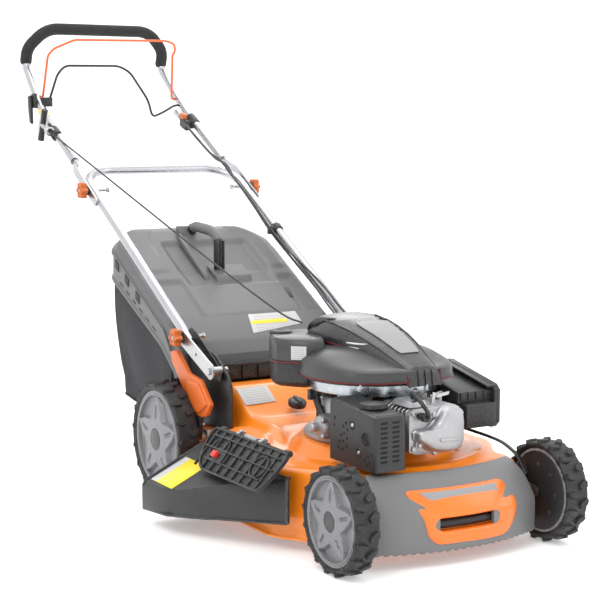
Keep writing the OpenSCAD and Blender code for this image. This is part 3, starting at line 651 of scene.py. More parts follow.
def deck_shell():
    """Pressed steel deck: rolled skirt, beaded walls and stepped top, open at the left and at the crank."""
    rim = outline_ring(320)
    form, rows = Form(), []
    for grow, z in ((3.2, SKIRT - 1), (3.8, SKIRT + 1.6), (2.6, SKIRT + 4), (0.0, SKIRT + 6.5), (0.0, 60), (0.8, 64),
                    (0.8, 70),
                    (0.0, 74), (0.0, 104), (0.8, 108), (0.8, 114), (0.0, 118), (0.0, 132), (-1.2, 142), (-4.5, 151)):
        row = []
        for x, y in rim:
            d = math.hypot(x, y - CRANK_Y)
            keep = (d + (grow if y < 285 else min(grow, 0))) / d
            row.append((x * keep, CRANK_Y + (y - CRANK_Y) * keep, z))
        rows.append(row)
    for share in [0.965, 0.945, 0.92] + [0.90 - 0.02 * k for k in range(44)] + [0.01]:
        row = []
        for x, y in rim:
            u, v = x * share, CRANK_Y + (y - CRANK_Y) * share
            z = deck_height(u, v)
            shoulder = {0.965: 5.0, 0.945: 1.8, 0.92: 0.4}.get(share, 0.0)
            row.append((u, v, z - shoulder))
        rows.append(row)
    form.grid(rows, True)
    (y0, y1), (z0, z1) = LEFT_WALL_OPENING

    def in_opening(face):
        x, y, z = (sum(form.verts[i][k] for i in face) / len(face) for k in range(3))
        return (x < -250 and y0 < y < y1 and z0 < z < z1) or math.hypot(x, y - CRANK_Y) < 30

    form.faces = [f for f in form.faces if not in_opening(f)]
    piece("deck_pressing", form, DECK_PAINT, "deck", "deck_orange", ("deck_shell",), wall=2.6, crease=50)


def arc_point(radius, angle, back=436.0):
    """Point on the bumper's bow, angle in degrees from straight ahead."""
    a = math.radians(angle)
    return radius * math.sin(a), 461.0 - back - radius * math.cos(a)


def bow_rows(profile, low, high, steps, back=436.0, tooth=0.0):
    """Rows of points along the bumper's bow for one cross-section, toothed below where asked."""
    rows = []
    for k in range(steps + 1):
        angle = low + (high - low) * k / steps
        row = []
        for radius, z in profile:
            drop = tooth * (k % 6 < 3) * (z < 30) if abs(angle) < abs(low) - 1.5 else 0
            x, y = arc_point(radius - (2.5 if drop else 0), angle, back)
            row.append((x, y, z + drop))
        rows.append(row)
    return rows


def front_bumper():
    """Grey front guard: a bow with a rounded nose, a lip over the deck and a toothed lower edge."""
    profile = [(451, 29), (458, 29), (460.4, 32), (461, 40), (461, 88), (459, 98), (452, 112), (442, 130), (430, 145),
               (414, 158), (404, 164), (397, 166.2), (393, 166.2), (393, 161), (402, 159.8), (426, 143), (437, 128),
               (453, 94), (454, 40)]
    form = Form().grid(bow_rows(profile, -24, 24, 132, tooth=5.0), True, (True, True))
    shell = piece("front_guard", form, GUARD_GREY, "deck", "bumper_grey", bevel=0.6, ride=False)
    window = Form().box((-60, -480, 64), (62, -400, 95))
    cut(shell, mesh_object("guard_window", window, GUARD_GREY))
    soften(shell, 36)
    fasten(shell, "deck", "bumper_grey", ("front_bumper",))


def on_bow(x, z, proud):
    """Place a front-view point on the bow, following the nose's lean above its shoulder."""
    lean = 461.0 - 21.0 * ease(z, 88, 132) - 6.0 * ease(z, 120, 160)
    radius = lean + proud
    angle = math.degrees(math.asin(x / radius))
    u, v = arc_point(radius, angle)
    return (u, v, z)


def bumper_insert():
    """Orange carrying insert: frame round a grip slot, a dark bar in it as painted shade of the slot's hollow, and a
    plain badge plate above.
    """
    def ring(points, count=96):
        loop = spaced(rounded([Vector((x, 0, z)) for x, z in points + points[:2]], 13, 6)[1:-7], 2.0)
        runs = np.cumsum([0] + [(b - a).length for a, b in zip(loop, loop[1:])])
        at = np.linspace(0, runs[-1], count, endpoint=False)
        return [(float(np.interp(s, runs, [p.x for p in loop])), float(np.interp(s, runs, [p.z for p in loop])))
                for s in at]

    outer = ring([(16, 42), (-66, 44), (-84, 60), (-93, 96), (-118, 143), (-8, 143), (102, 143), (128, 112), (122, 74),
                  (104, 50), (88, 42)])
    frame_edge = [(16 + (x - 16) * 0.955, 84 + (z - 84) * 0.93) for x, z in outer]
    slot = ring([(16, 68), (-52, 68), (-64, 74), (-68, 82), (-60, 92), (16, 92), (66, 92), (74, 88), (76, 80),
                 (70, 70), (62, 68)])
    slot_edge = [(2 + (x - 2) * 1.13, 80 + (z - 80) * 1.35) for x, z in slot]
    rows = [[on_bow(x, z, -5) for x, z in outer], [on_bow(x, z, 2.0) for x, z in outer],
            [on_bow(x, z, 3.6) for x, z in frame_edge], [on_bow(x, z, 3.4) for x, z in slot_edge],
            [on_bow(x, z, 0.4) for x, z in slot], [on_bow(x, z, -9) for x, z in slot],
            [on_bow(x, z, -22) for x, z in slot],
            [on_bow(x, z, -24) for x, z in frame_edge], [on_bow(x, z, -5) for x, z in outer]]
    form = Form().grid(rows, True)
    obj = piece("guard_insert", form, GUARD_ORANGE, "deck", "insert_orange", ride=False)
    sub = obj.modifiers.new("round", "SUBSURF")
    sub.levels = sub.render_levels = 1
    settle(obj)
    soften(obj, 50)
    fasten(obj, "deck", "insert_orange", ("bumper_insert",))
    # Painted shade: a dark bar nearly filling the grip slot stands in for the shade inside it.
    bar = Form().tube([on_bow(x, 79, -17) for x in range(-70, 84, 6)], 9, 20)
    piece("insert_grip_bar", bar, DARK_STEEL, "deck", "black_plastic")
    plate = Form()
    rows = []
    for k in range(25):
        share = k / 24
        top, low = (-92 + share * (78 + 92), 139), (-70 + share * (84 + 70), 124)
        rows.append([on_bow(top[0], top[1], d) for d in (2.0, 5.4)] + [on_bow(low[0], low[1], d) for d in (6.0, 2.0)])
    plate.grid(rows, True, (True, True))
    piece("guard_badge", plate, BADGE, "deck", "plated_steel", bevel=0.5)


def rear_housing():
    """Black rear walls with folded edges and a ribbed cross rail."""
    edge = [(135, 161), (135, 262), (146, 280), (205, 318), (296, 334), (318, 330), (326, 320), (326, 250), (300, 205),
            (300, 161)]
    form = Form()
    for side in (-1, 1):
        low, high = sorted((188 * side, 192 * side))
        form.prism(edge, low, high)
        lip = [Vector((side * 192, y, z)) for y, z in edge[1:5]]
        form.tube(rounded(lip, 12), 3.4, 10)
    form.box((-188.5, 296, 246), (188.5, 300, 282))
    for k in range(9):
        x = -160 + 40 * k
        form.box((x - 1.5, 291, 247), (x + 1.5, 297, 276))
    form.box((-188.5, 292, 276), (188.5, 301, 282))
    piece("rear_walls", form, BLACK_PLASTIC, "deck", "black_plastic", ("rear_housing",), bevel=1.2)


def mounting_plates():
    """Plated handle brackets with their spare holes, screws and black backing."""
    plates = frame["nodes"]["handle_brackets"]
    dress(plates, PLATED)
    backing = Form()
    for side in (-1, 1):
        low, high = sorted((197 * side, 217 * side))
        backing.prism([(160, 286), (166, 268), (196, 270), (318, 338), (322, 362), (300, 368), (278, 360), (180, 306)],
                      *sorted((198.5 * side, 202.5 * side)))
        backing.box((min(low, high), 228, 300), (max(low, high), 246, 306))
    piece("bracket_backs", backing, BLACK_PLASTIC, "deck", "black_plastic", bevel=1.5)


def dress(obj, mat):
    """Better finish on a kept sub-part of the frame."""
    obj.data.materials.clear()
    obj.data.materials.append(mat)


def labels():
    """Blank labels: plain plates with grey bars or plain colour where the real ones have print."""
    def plate(name, corners, mat, body, slot, lift=0.8):
        pts = [Vector(c) for c in corners]
        out = (pts[1] - pts[0]).cross(pts[3] - pts[0]).normalized()
        form = Form()
        spots = [(0, 0), (1, 0), (1, 1), (0, 1)]
        rows = [[tuple(p + out * h) for p in pts] for h in (-0.4, lift)]
        form.grid(rows, True, (True, True), [spots, spots])
        piece(name, form, mat, body, slot, bevel=0.3, uv="face")

    plate("deck_label", [(x, y, deck_height(x, y) + 1.4) for x,
                         y in ((-140, 168), (-64, 172), (-64, 216), (-140, 212))], BLANK_WHITE, "deck",
          "deck_orange")
    slope = lambda x: 151.2 + (x + 258) * 62 / 132.0
    plate("chute_label_white", [(-384, 96, slope(-384)), (-302, 96, slope(-302)), (-302, 118, slope(-302)),
                                (-384, 118, slope(-384))],
          BLANK_WHITE, "deck", "black_plastic")
    plate("chute_label_yellow", [(-384, 22, slope(-384)), (-302, 22, slope(-302)), (-302, 96, slope(-302)),
                                 (-384, 96, slope(-384))],
          BLANK_YELLOW, "deck", "black_plastic")
    lid = lambda y: 366 + (y - 415) * 183 / 333.0
    plate("lid_label", [(-6, 424, lid(424) + 0.6), (118, 424, lid(424) + 0.6), (118, 462, lid(462) + 0.6),
                        (-6, 462, lid(462) + 0.6)],
          BLANK_WHITE, "bag", "lid_grey")
    fold = lambda y: 334 + (y - 340) * 41 / 60.0
    plate("flap_label", [(-26, 344, fold(344) + 0.6), (112, 362, fold(362) + 0.6), (112, 397, fold(397) + 0.6),
                         (-12, 397, fold(397) + 0.6)],
          BLANK_WHITE, "rear_flap", "lid_grey")
    plate("flap_label_band", [(-18, 368, fold(368) + 1.4), (76, 368, fold(368) + 1.4), (76, 378, fold(378) + 1.4),
                              (-15, 378, fold(378) + 1.4)],
          BLANK_YELLOW, "rear_flap", "lid_grey")
    plate("lid_label_sign", [(74, 426, lid(426) + 1.6), (110, 426, lid(426) + 1.6), (102, 450, lid(450) + 1.6),
                             (82, 450, lid(450) + 1.6)],
          BLANK_YELLOW, "bag", "lid_grey")
    plate("lid_picture_panel", [(-44, 470, lid(470) + 0.8), (150, 470, lid(470) + 0.8), (158, 518, lid(518) + 0.8),
                                (-50, 518, lid(518) + 0.8)],
          LID_DARK, "bag", "lid_grey")
    plate("tank_label", [(-156.5, -54.6, 342), (-134.5, -76.8, 342), (-134.5, -76.8, 369), (-156.5, -54.6, 369)],
          BLANK_WHITE, "deck",
          "shroud_plastic", 1.0)


# ---- engine ----


def cast_crankcase():
    """Cast crankcase with its foot, corner bosses and bolts."""
    form = Form()
    cy = (0, CRANK_Y, 0)
    form.lathe([(100, 188.2), (136, 188.2), (138, 190), (138, 198), (134, 200), (110, 202), (104, 208), (104, 262),
                (100, 270),
                (70, 274), (66, 280), (66, 305), (40, 305), (40, 280), (92, 262), (92, 208), (100, 188.2)], cy,
                steps=72)
    for k in range(12):
        a = math.radians(30 * k + 15)
        x, y = 104 * math.cos(a), CRANK_Y + 104 * math.sin(a)
        if y > -200:
            form.prism([(x - 5, y - 5), (x + 5, y - 5), (x + 5, y + 5), (x - 5, y + 5)], 200, 264, "z")
            form.hex((x, y, 264), "z", 6.5, 5)
    form.prism([(-112, -158), (-72, -196), (-52, -190), (-50, -150), (-92, -128)], 200, 300, "z")
    form.prism([(112, -158), (72, -196), (52, -190), (50, -150), (92, -128)], 200, 288, "z")
    form.lathe([(10, -150), (20, -147), (24, -140), (24, -112), (18, -104), (10, -104)], (0, -146, 222), "x", 28)
    form.lathe([(6, -166), (9, -164), (9, -146), (6, -146)], (0, -146, 222), "x", 20)
    for z in (206, 238):
        form.lathe([(4, -154), (5.5, -152), (5.5, -140), (4, -140)], (0, -166, z), "x", 14)
    piece("cast_crankcase", form, CAST, "deck", "cast_metal", ("crankcase",), bevel=1.6)


def cylinder_fins():
    """Stacked cooling fins, the barrel, and the head with its bolts."""
    fin = Form().prism([(-56, -40), (-48, -44), (48, -44), (56, -36), (56, 34), (44, 42), (-44, 42), (-56, 34)], -1.9,
                       1.9, "y")
    fins = repeated("cylinder_fins", fin, CAST, 8, (0, -222, 236), step=(0, -12.6, 0), bevel=0.8)
    soften(fins)
    fasten(fins, "deck", "cast_metal", ("cylinder_head",))
    form = Form()
    form.lathe([(20, -320), (41, -318), (41, -200), (20, -198)], (0, 0, 236), "y", 40)
    form.prism([(-57, 194), (-40, 188), (44, 188), (57, 196), (57, 268), (48, 276), (-48, 276), (-57, 262)], -325,
               -312, "y")
    for x, z in ((-48, 200), (-48, 268), (50, 200), (50, 268), (0, 190)):
        form.hex((x, -330, z), "y", 6.5, 8)
    form.prism([(-54, 278), (-14, 278), (-20, 290), (-48, 288)], -322, -262, "y")
    piece("cylinder_barrel", form, CAST, "deck", "cast_metal", bevel=1.2)


def cast_valve_cover():
    """Blank cast cover with its high right side and the low, rounded left lobe."""
    def rim(grow, y):
        pts = [(-52, 226), (-44, 216), (-14, 196), (14, 191), (40, 191), (54, 200), (58, 214), (58, 250), (54, 268),
               (40, 276),
               (22, 276), (10, 270), (-2, 250), (-18, 238), (-44, 238)]
        loop = rounded([Vector((x, 0, z)) for x, z in pts + pts[:2]], 9, 5)[1:-6]
        mid = Vector((14, 0, 232))
        return [tuple(Vector((p.x, y, p.z)) + (p - mid).normalized() * grow) for p in loop]

    rows = [rim(4, -324), rim(4, -329), rim(1, -331), rim(0, -334), rim(-1, -341), rim(-5, -346), rim(-14, -348),
            rim(-24, -348.5)]
    form = Form().grid(rows, True, (True, True))
    form.prism([(-2, 214), (40, 212), (42, 218), (-4, 220)], -351, -347, "y")
    for x, z in ((-40, 208), (50, 200), (54, 262), (-8, 264)):
        form.lathe([(7, -332), (7.5, -330), (7.5, -322), (5, -322)], (x, 0, z), "y", 16)
        form.hex((x, -338, z), "y", 5, 7)
    piece("cast_valve_cover", form, CAST, "deck", "cast_metal", ("valve_cover",), bevel=0.8, crease=48)


def muffler_guard():
    """Heat guard of sheet with painted shade for its holes and slots (flat near-black discs and bars on the solid
    sheet), two screw dimples, the outlet and the pipe behind it.
    """
    x0, x1, y0, y1, z0, z1 = -157, -87, -362, -205, 173, 278
    loop = rounded([Vector((x0, y1, 0)), Vector((x0, y0, 0)), Vector((x1, y0, 0)), Vector((x1, -300, 0))], 11, 7)
    rows = []
    for drop, z in ((0, z0), (0, z1 - 8), (2, z1 - 2.5), (8, z1)):
        row = []
        for p in loop:
            inward = Vector((1 if p.x < -125 else -1, 1 if p.y < -350 else 0.0, 0))
            row.append((p.x + inward.x * drop, p.y + inward.y * drop, z))
        rows.append(row)
    form = Form().grid(rows)
    lid = [(x0 + 8, y1, z1), (x0 + 8, y0 + 8, z1), (x1 - 8, y0 + 8, z1), (x1 - 8, -300, z1), (x1 - 8, y1, z1)]
    form.add(lid, [tuple(range(5))])
    form.verts = [(x, y, z + (z - z0) / (z1 - z0) * 12 * ease(y, -362, -205)) for x, y, z in form.verts]
    shell = mesh_object("heat_guard", form, HEAT_PAINT)
    skin = shell.modifiers.new("wall", "SOLIDIFY")
    skin.thickness, skin.offset = 0.0022, -1
    settle(shell)
    # Painted shade: the holes and slots are flat near-black discs and bars laid on the solid guard, not openings.
    holes, lips = Form(), Form()
    small = [(-222, 254), (-220, 240), (-262, 250), (-252, 243), (-268, 238), (-256, 230), (-246, 225), (-266, 222),
             (-252, 214), (-264, 206), (-240, 212),
             (-250, 198), (-236, 200), (-338, 200), (-328, 192), (-344, 190), (-334, 184), (-350, 206)]
    for y, z in small:
        holes.lathe([(0.2, -157.3), (3.3, -157.3), (3.5, -156.6), (0.2, -156.6)], (0, y, z), "x", 12)
    for y, z, r in ((-284, 250, 7.0), (-306, 202, 7.0), (-330, 231, 12.0)):
        holes.lathe([(0.3, -157.25), (r, -157.25), (r + 0.2, -156.6), (0.3, -156.6)], (0, y, z), "x", 28)
        lips.lathe([(r, -157), (r + 0.4, -158.2), (r + 1.6, -158.2), (r + 2.2, -156.8)], (0, y, z), "x", 32)
    for k in range(9):
        for x in (-138, -112):
            z = 190 + k * 9
            holes.prism([(x - 8, z), (x + 7, z), (x + 9, z + 4.6), (x - 6, z + 4.6)], -362.3, -361.6, "y")
    piece("guard_holes", holes, HOLE_SHADE, "deck", "black_plastic")
    piece("guard_lips", lips, HEAT_PAINT, "deck", "black_plastic")
    soften(shell, 40)
    fasten(shell, "deck", "black_plastic", ("muffler_guard",))
    inner = Form().box((-153, -356, 182), (-92, -212, 270))
    inner.lathe([(6, -158), (9.5, -158), (9.5, -146), (6, -146), (6, -158)], (0, -330, 231), "x", 28)
    piece("muffler_body", inner, DARK_STEEL, "deck", "dark_steel", ("muffler",), bevel=5, segments=3)
    screws = Form()
    for y, z in ((-284, 250), (-306, 202)):
        screws.lathe([(0.3, -158.4), (3.4, -158.4), (4.4, -157.2), (3, -156.8)], (0, y, z), "x", 18)
    piece("guard_screws", screws, PLATED, "deck", "plated_steel")
    pipe = Form().tube(rounded([(-92, -300, 240), (-76, -312, 246), (-52, -300, 244)], 14), 11, 20)
    pipe.lathe([(6, 278), (26, 280), (30, 284), (26, 291), (10, 293)], (-122, -300, 0), "z", 8)
    piece("exhaust_pipe", pipe, DARK_STEEL, "deck", "dark_steel", bevel=1)


def cowl_outline(angle, grow=0.0):
    """Plan of the engine cowl about the crank: round at the back, drawn out to a blunt nose."""
    c, s = math.cos(angle), math.sin(angle)
    back = 152.0 + grow
    radius = back if s > 0 else 1.0 / ((abs(c) / back) ** 2.6 + (abs(s) / (154.0 + grow)) ** 2.6) ** (1 / 2.6)
    return radius * c * (0.90 if c > 0 else 1.0) + 12.0 * max(0.0, -s) ** 2, CRANK_Y + radius * s


def engine_cowl():
    """Plastic cowl over the flywheel, with its red seam and painted shade for its side grooves (black raised strips).
    """
    rows = []
    levels = ((0, 315), (0.4, 316), (0.4, 319), (0.0, 322), (-2, 338), (-6, 345), (-13, 351), (-24, 357), (-38, 362),
              (-54, 366),
              (-72, 368), (-92, 369))
    for grow, z in levels:
        row = []
        for k in range(128):
            x, y = cowl_outline(2 * math.pi * k / 128, grow)
            nose = ease(-y, 120, 262)
            row.append((x, y, z - (z - 314) * 0.50 * nose * ease(z, 322, 369)))
        rows.append(row)
    form = Form().grid(rows, True, (False, True))
    obj = piece("engine_cowl", form, COWL, "deck", "shroud_plastic", ("engine_shroud",), crease=40)
    seam = [Vector(cowl_outline(2 * math.pi * k / 128, 0.6) + (314.6,)) for k in range(129)]
    piece("cowl_seam", Form().tube(seam, 1.5, 8), SEAM_RED, "deck", "shroud_plastic")
    # Painted shade: the side grooves are black strips laid on the cowl, standing in for the shade in real grooves.
    grooves = Form()
    for side in (-1, 1):
        path = [(side * 92 + 6, -112, 364), (side * 98 + 8, -150, 357), (side * 90 + 12, -190, 347),
                (side * 70 + 16, -226, 338)]
        grooves.tube(smooth_path(path, 10), lambda t: 0.5 + 3.2 * math.sin(math.pi * t), 10, 0.5)
    piece("cowl_grooves", grooves, BLACK_PLASTIC, "deck", "shroud_plastic")
    return obj


HOOD = [  # y, half width, crown, foot
    (58, 24, 368, 362), (54, 46, 386, 362), (44, 62, 404, 364), (24, 72, 416, 366), (0, 77, 421, 368),
    (-30, 78, 422, 370),
    (-66, 76, 418, 371), (-104, 71, 408, 368), (-142, 65, 394, 360), (-180, 57, 377, 348), (-214, 49, 360, 334),
    (-240, 43, 349, 322),
    (-256, 40, 342, 312), (-263, 38, 334, 306), (-266, 37, 320, 304), (-266, 36, 306, 304)]


def hood_shift(y):
    """The hood's middle line drifts to the right towards its nose."""
    return 20.0 * ease(-y, 40, 250)


def hood_section(y, half, crown, foot, count=33, grow=0.0):
    row = []
    for k in range(count):
        a = math.pi * k / (count - 1)
        c, s = math.cos(a), math.sin(a)
        x = math.copysign(abs(c) ** 0.62, c) * (half + grow)
        z = foot + abs(s) ** 0.62 * (crown + grow - foot)
        row.append((x + hood_shift(y), y, z))
    return row


def hood_at(y, share, lift=0.0):
    """Point on the hood's skin: share runs from -1, left foot, over the crown to 1."""
    ys = [s[0] for s in HOOD][::-1]
    half, crown, foot = (float(np.interp(y, ys, [s[k] for s in HOOD][::-1])) for k in (1, 2, 3))
    a = math.pi / 2 * (1 - share)
    c, s = math.cos(a), math.sin(a)
    x = math.copysign(abs(c) ** 0.62, c) * half
    z = foot + abs(s) ** 0.62 * (crown - foot)
    out = Vector((x / max(half, 1), 0.25, (z - foot) / max(crown - foot, 1) + 0.2)).normalized()
    return Vector((x + hood_shift(y), y, z)) + out * lift


def hood():
    """Streamlined top cover with swirl louvres, painted shade for its vent slots (near-black strips) and a blank badge.
    """
    stations = []
    for i in range(len(HOOD) - 1):
        for k in range(4):
            stations.append([HOOD[i][j] + (HOOD[i + 1][j] - HOOD[i][j]) * k / 4 for j in range(4)])
    stations.append(list(HOOD[-1]))
    rows = [hood_section(*s) for s in stations]
    form = Form().grid(rows, False)
    form.faces.append(tuple(range(len(rows[0]))))
    obj = mesh_object("hood_skin", form, COWL_DARK)
    sub = obj.modifiers.new("round", "SUBSURF")
    sub.levels = sub.render_levels = 1
    skin = obj.modifiers.new("wall", "SOLIDIFY")
    skin.thickness, skin.offset = 0.0025, -1
    settle(obj)
    soften(obj, 42)
    fasten(obj, "deck", "shroud_plastic", ("top_cover",))
    ridges, slots = Form(), Form()
    for side in (-1, 1):
        ridges.tube([hood_at(y, side * 0.52, 0.4) for y in range(20, -264, -6)],
                    lambda t: 1.0 + 1.8 * math.sin(math.pi * min(1, t * 1.1)), 10)
        for k in range(6):
            path = [hood_at(34 - 9 * k - 14 * abs(t - 0.5) ** 2 - 34 * t, side * (0.86 - 0.44 * t - 0.02 * k), 0.6)
                    for t in (j / 14 for j in range(15))]
            ridges.tube(path, lambda t: 0.6 + 2.6 * math.sin(math.pi * t), 10, 0.8)
    # Painted shade: the vent slots are near-black strips laid on the hood, standing in for dark openings.
    for k in range(5):
        y = -58 - k * 17
        path = [hood_at(y - 5 * t, 0.20 + 0.16 * t, 0.5) for t in (0, 0.25, 0.5, 0.75, 1.0)]
        slots.tube(path, 2.6, 10, 0.5)
    piece("hood_ridges", ridges, COWL_DARK, "deck", "shroud_plastic")
    piece("hood_vents", slots, BELT, "deck", "shroud_plastic")
    seam = Form()
    for side in (-1, 1):
        seam.tube([hood_at(y, side * 1.0, 1.0) for y in range(40, -262, -6)], 1.3, 8)
        seam.tube([(20 + side * 37, -265, 306), (20 + side * 38.5, -264, 322), (20 + side * 40, -258, 336)], 1.2, 8)
    piece("hood_seam", seam, SEAM_RED, "deck", "shroud_plastic")
    rows = []
    for k in range(15):
        t = k / 14
        y = -92 - 118 * t
        half = 0.19 + 0.06 * (1 - t)
        half *= min(1.0, 0.82 + 1.8 * min(t, 1 - t))
        rows.append([tuple(hood_at(y, share * half + 0.04, 0.9)) for share in (-1, -0.6, -0.2, 0.2, 0.6, 1)])
    plate = mesh_object("hood_badge", Form().grid(rows), BADGE)
    skin = plate.modifiers.new("wall", "SOLIDIFY")
    skin.thickness, skin.offset = 0.0014, 1
    settle(plate)
    soften(plate, 40)
    fasten(plate, "deck", "shroud_plastic")
    nose = Form()
    for x in (4, 20, 36):
        nose.tube([(x, -265, 306), (x, -267.5, 310), (x, -267.5, 326), (x, -263, 337)], 1.5, 10)
    piece("hood_nose_ribs", nose, COWL_DARK, "deck", "shroud_plastic")


def tank_side():
    """Faceted side block of the cowl over the dark tank, with the filler neck."""
    plan = [(-158, -52), (-174, -26), (-172, 0), (-152, 44), (-120, 74), (-62, 84), (-40, 60), (-50, -10), (-96, -84),
            (-132, -78)]
    form = Form()
    rows = []
    for share, z in ((1.0, 336), (1.0, 370), (0.96, 379), (0.90, 382)):
        rows.append([(-110 + (x + 110) * share, 20 + (y - 20) * share, z) for x, y in plan])
    form.grid(rows, True, (True, True))
    piece("tank_cowl", form, COWL, "deck", "shroud_plastic", bevel=3.5, segments=3)
    low = [[(-110 + (x + 110) * s, 20 + (y - 20) * s, z) for x, y in plan] for s,
           z in ((0.80, 284), (0.93, 292), (0.95, 336))]
    piece("fuel_tank_body", Form().grid(low, True, (True, True)), BLACK_PLASTIC, "deck", "shroud_plastic",
          ("fuel_tank",), bevel=4,
          segments=3)
    loop = [Vector((x * 1.003, y, 335.5)) for x, y in plan[-1:] + plan]
    piece("tank_seam", Form().tube(loop[:4], 1.6, 8), SEAM_RED, "deck", "shroud_plastic")
    neck = Form().lathe([(15.5, 372), (21, 372), (21, 377), (15.5, 377), (15.5, 372)], (-124, 44, 0), "z", 40)
    piece("tank_neck", neck, BLACK_PLASTIC, "deck", "shroud_plastic")


def ribbed_cap(name, at, radius, low, high, body, slot, stands_for, ribs=18, extra=None):
    """Screw cap with grip ribs round its edge."""
    form = Form().lathe([(radius * 0.5, low), (radius, low), (radius, high - 3), (radius * 0.9, high),
                         (radius * 0.45, high),
                         (radius * 0.4, high - 1.2), (1, high - 1.2)], (at[0], at[1], 0), "z", 48)
    for k in range(ribs):
        a = 2 * math.pi * k / ribs
        x, y = at[0] + radius * math.cos(a), at[1] + radius * math.sin(a)
        form.lathe([(1.0, low + 1), (1.5, low + 1.5), (1.5, high - 3.4), (0.8, high - 2.6)], (x, y, 0), "z", 8)
    if extra:
        extra(form)
    piece(name, form, BLACK_PLASTIC, body, slot, stands_for, bevel=0.4)


def air_filter():
    """Filter cover with a sunk face and ribs, and the case behind it."""
    plan = [(-258, 216), (-258, 282), (-246, 292), (-98, 322), (-83, 314), (-83, 218), (-95, 204), (-246, 204)]
    form = Form()
    inner = [(-170 + (y + 170) * 0.88, 258 + (z - 258) * 0.84) for y, z in plan]
    rows = [[(192, y, z) for y, z in plan], [(207, y, z) for y, z in plan], [(207, y, z) for y, z in inner],
            [(201, y, z) for y, z in inner]]
    form.grid(rows, True, (True, True))
    for k in range(6):
        y = -240 + 26 * k
        form.box((186, y, 262), (193, y + 3, 294))
    form.prism([(-252, 286), (-90, 318), (-90, 322), (-252, 290)], 178, 206)
    piece("filter_cover", form, BLACK_PLASTIC, "deck", "black_plastic", ("air_filter_cover",), bevel=1.8, segments=3)
    body = Form()
    body.box((128, -246, 206), (193, -112, 262))
    body.prism([(-246, 258), (-112, 258), (-112, 306), (-246, 280)], 112, 193)
    for k in range(4):
        body.box((116 + k * 19, -250, 264), (119 + k * 19, -236, 281))
    body.box((118, -268, 212), (190, -244, 258))
    piece("filter_case", body, SOFT_BLACK, "deck", "black_plastic", ("air_filter_box",), bevel=3, segments=3)


def fuel_parts():
    """Carburettor body, bowl, linkage rods and springs."""
    form = Form()
    form.box((60, -268, 216), (90, -228, 262))
    form.lathe([(4, 202), (14, 203), (15.5, 208), (15.5, 216), (10, 217)], (74, -248, 0), "z", 28)
    form.lathe([(12, 90), (12, 109), (16, 109), (16, 104)], (0, -248, 238), "x", 28)
    for y, z in ((-262, 256), (-236, 256), (-262, 222)):
        form.hex((91, y, z), "x", 4.5, 5)
    form.lathe([(3, 262), (5, 262), (5, 276), (3, 276)], (74, -236, 0), "z", 16)
    piece("carburettor_body", form, CAST, "deck", "cast_metal", ("carburettor",), bevel=1)
    links = Form()
    links.tube(rounded([(74, -236, 276), (52, -250, 284), (20, -300, 282), (6, -310, 270)], 8), 1.4, 8)
    coil = [(8 + 40 * t, -304 + 26 * t, 292) for t in (k / 120 for k in range(121))]
    coil = [(x + 3.4 * math.cos(i * 0.9), y, z + 3.4 * math.sin(i * 0.9)) for i, (x, y, z) in enumerate(coil)]
    links.tube(coil, 0.7, 6)
    links.prism([(-2, 262), (4, 262), (12, 300), (6, 302)], -312, -309, "y")
    links.prism([(28, 286), (56, 290), (58, 296), (28, 293)], -292, -289, "y")
    links.lathe([(3, 296), (4.5, 297), (4.5, 308), (3, 308)], (24, -262, 0), "z", 14)
    piece("governor_links", links, PLATED, "deck", "plated_steel")
    plug = Form()
    plug.lathe([(4, -352), (8, -350), (9, -338), (7, -330), (7, -322)], (-34, 0, 262), "y", 20)
    plug.tube(smooth_path([(-34, -350, 262), (-36, -356, 272), (-44, -344, 292), (-40, -318, 302), (-20, -290, 306)],
                          8), 4.0, 12)
    plug.lathe([(6, 292), (11, 294), (12, 304), (9, 309), (3, 310)], (-36, -316, 0), "z", 20)
    piece("plug_lead", plug, BLACK_PLASTIC, "deck", "black_plastic", ("spark_plug",))


def engine():
    """The whole engine, piece by piece."""
    cast_crankcase()
    cylinder_fins()
    cast_valve_cover()
    muffler_guard()
    engine_cowl()
    hood()
    tank_side()
    air_filter()
    fuel_parts()
    band = Form().lathe([(126, 284), (128, 284), (128.6, 286), (128.6, 322), (126, 322), (126, 284)], (0, CRANK_Y, 0),
                        "z", 96)
    band.box((-96, -214, 296), (-70, -196, 318))
    piece("fan_band", band, BAND, "deck", "plated_steel", bevel=0.5)
    under = Form().lathe([(30, 306.5), (140, 306.5), (140, 309), (30, 309), (30, 306.5)], (0, CRANK_Y, 0), "z", 64)
    piece("cowl_floor", under, BLACK_PLASTIC, "deck", "black_plastic")
    ribbed_cap("fuel_cap_ribbed", (-124, 44), 22, 378.5, 387, "fuel_cap", "black_plastic", ("fuel_cap",), 24)
    dx, dy = -108.0, -74.0
    tube = Form()
    tube.tube(smooth_path([(dx, dy, 284), (dx, dy, 262), (dx + 3, dy - 14, 236), (dx + 8, dy - 40, 204)], 8),
              lambda t: 9.2 - 0.8 * math.sin(math.pi * t), 20)
    tube.lathe([(6, 272), (11.5, 274), (12.5, 280), (11.5, 284), (6, 284), (6, 272)], (dx, dy, 0), "z", 28)
    tube.box((dx - 20, dy - 6, 262), (dx - 6, dy + 4, 282))
    piece("dipstick_neck", tube, BLACK_PLASTIC, "deck", "black_plastic", ("dipstick_tube",))
    ribbed_cap("dipstick_cap", (dx, dy), 11.2, 284.4, 297, "dipstick", "black_plastic", ("dipstick",), 12,
               lambda f: f.lathe([(1.8, 214), (2, 215), (2, 285)], (dx, dy, 0), "z", 10))
    strap = Form().tube(rounded([(166, -196, 196), (190, -240, 186), (203, -272, 178), (204, -322, 160),
                                 (204, -348, 128)], 22), 5.6, 14, 0.5,
                        up=(0, 0, 1))
    piece("corner_bar", strap, BLACK_PLASTIC, "deck", "black_plastic")


# ---- wheels ----

WHEELS = {"front_left": (-236, -372, 100, 83, -1), "front_right": (236, -372, 100, 83, 1),
          "rear_left": (-259, 316, 127, 106, -1), "rear_right": (259, 316, 127, 106, 1)}
HALF_TYRE = 25.0


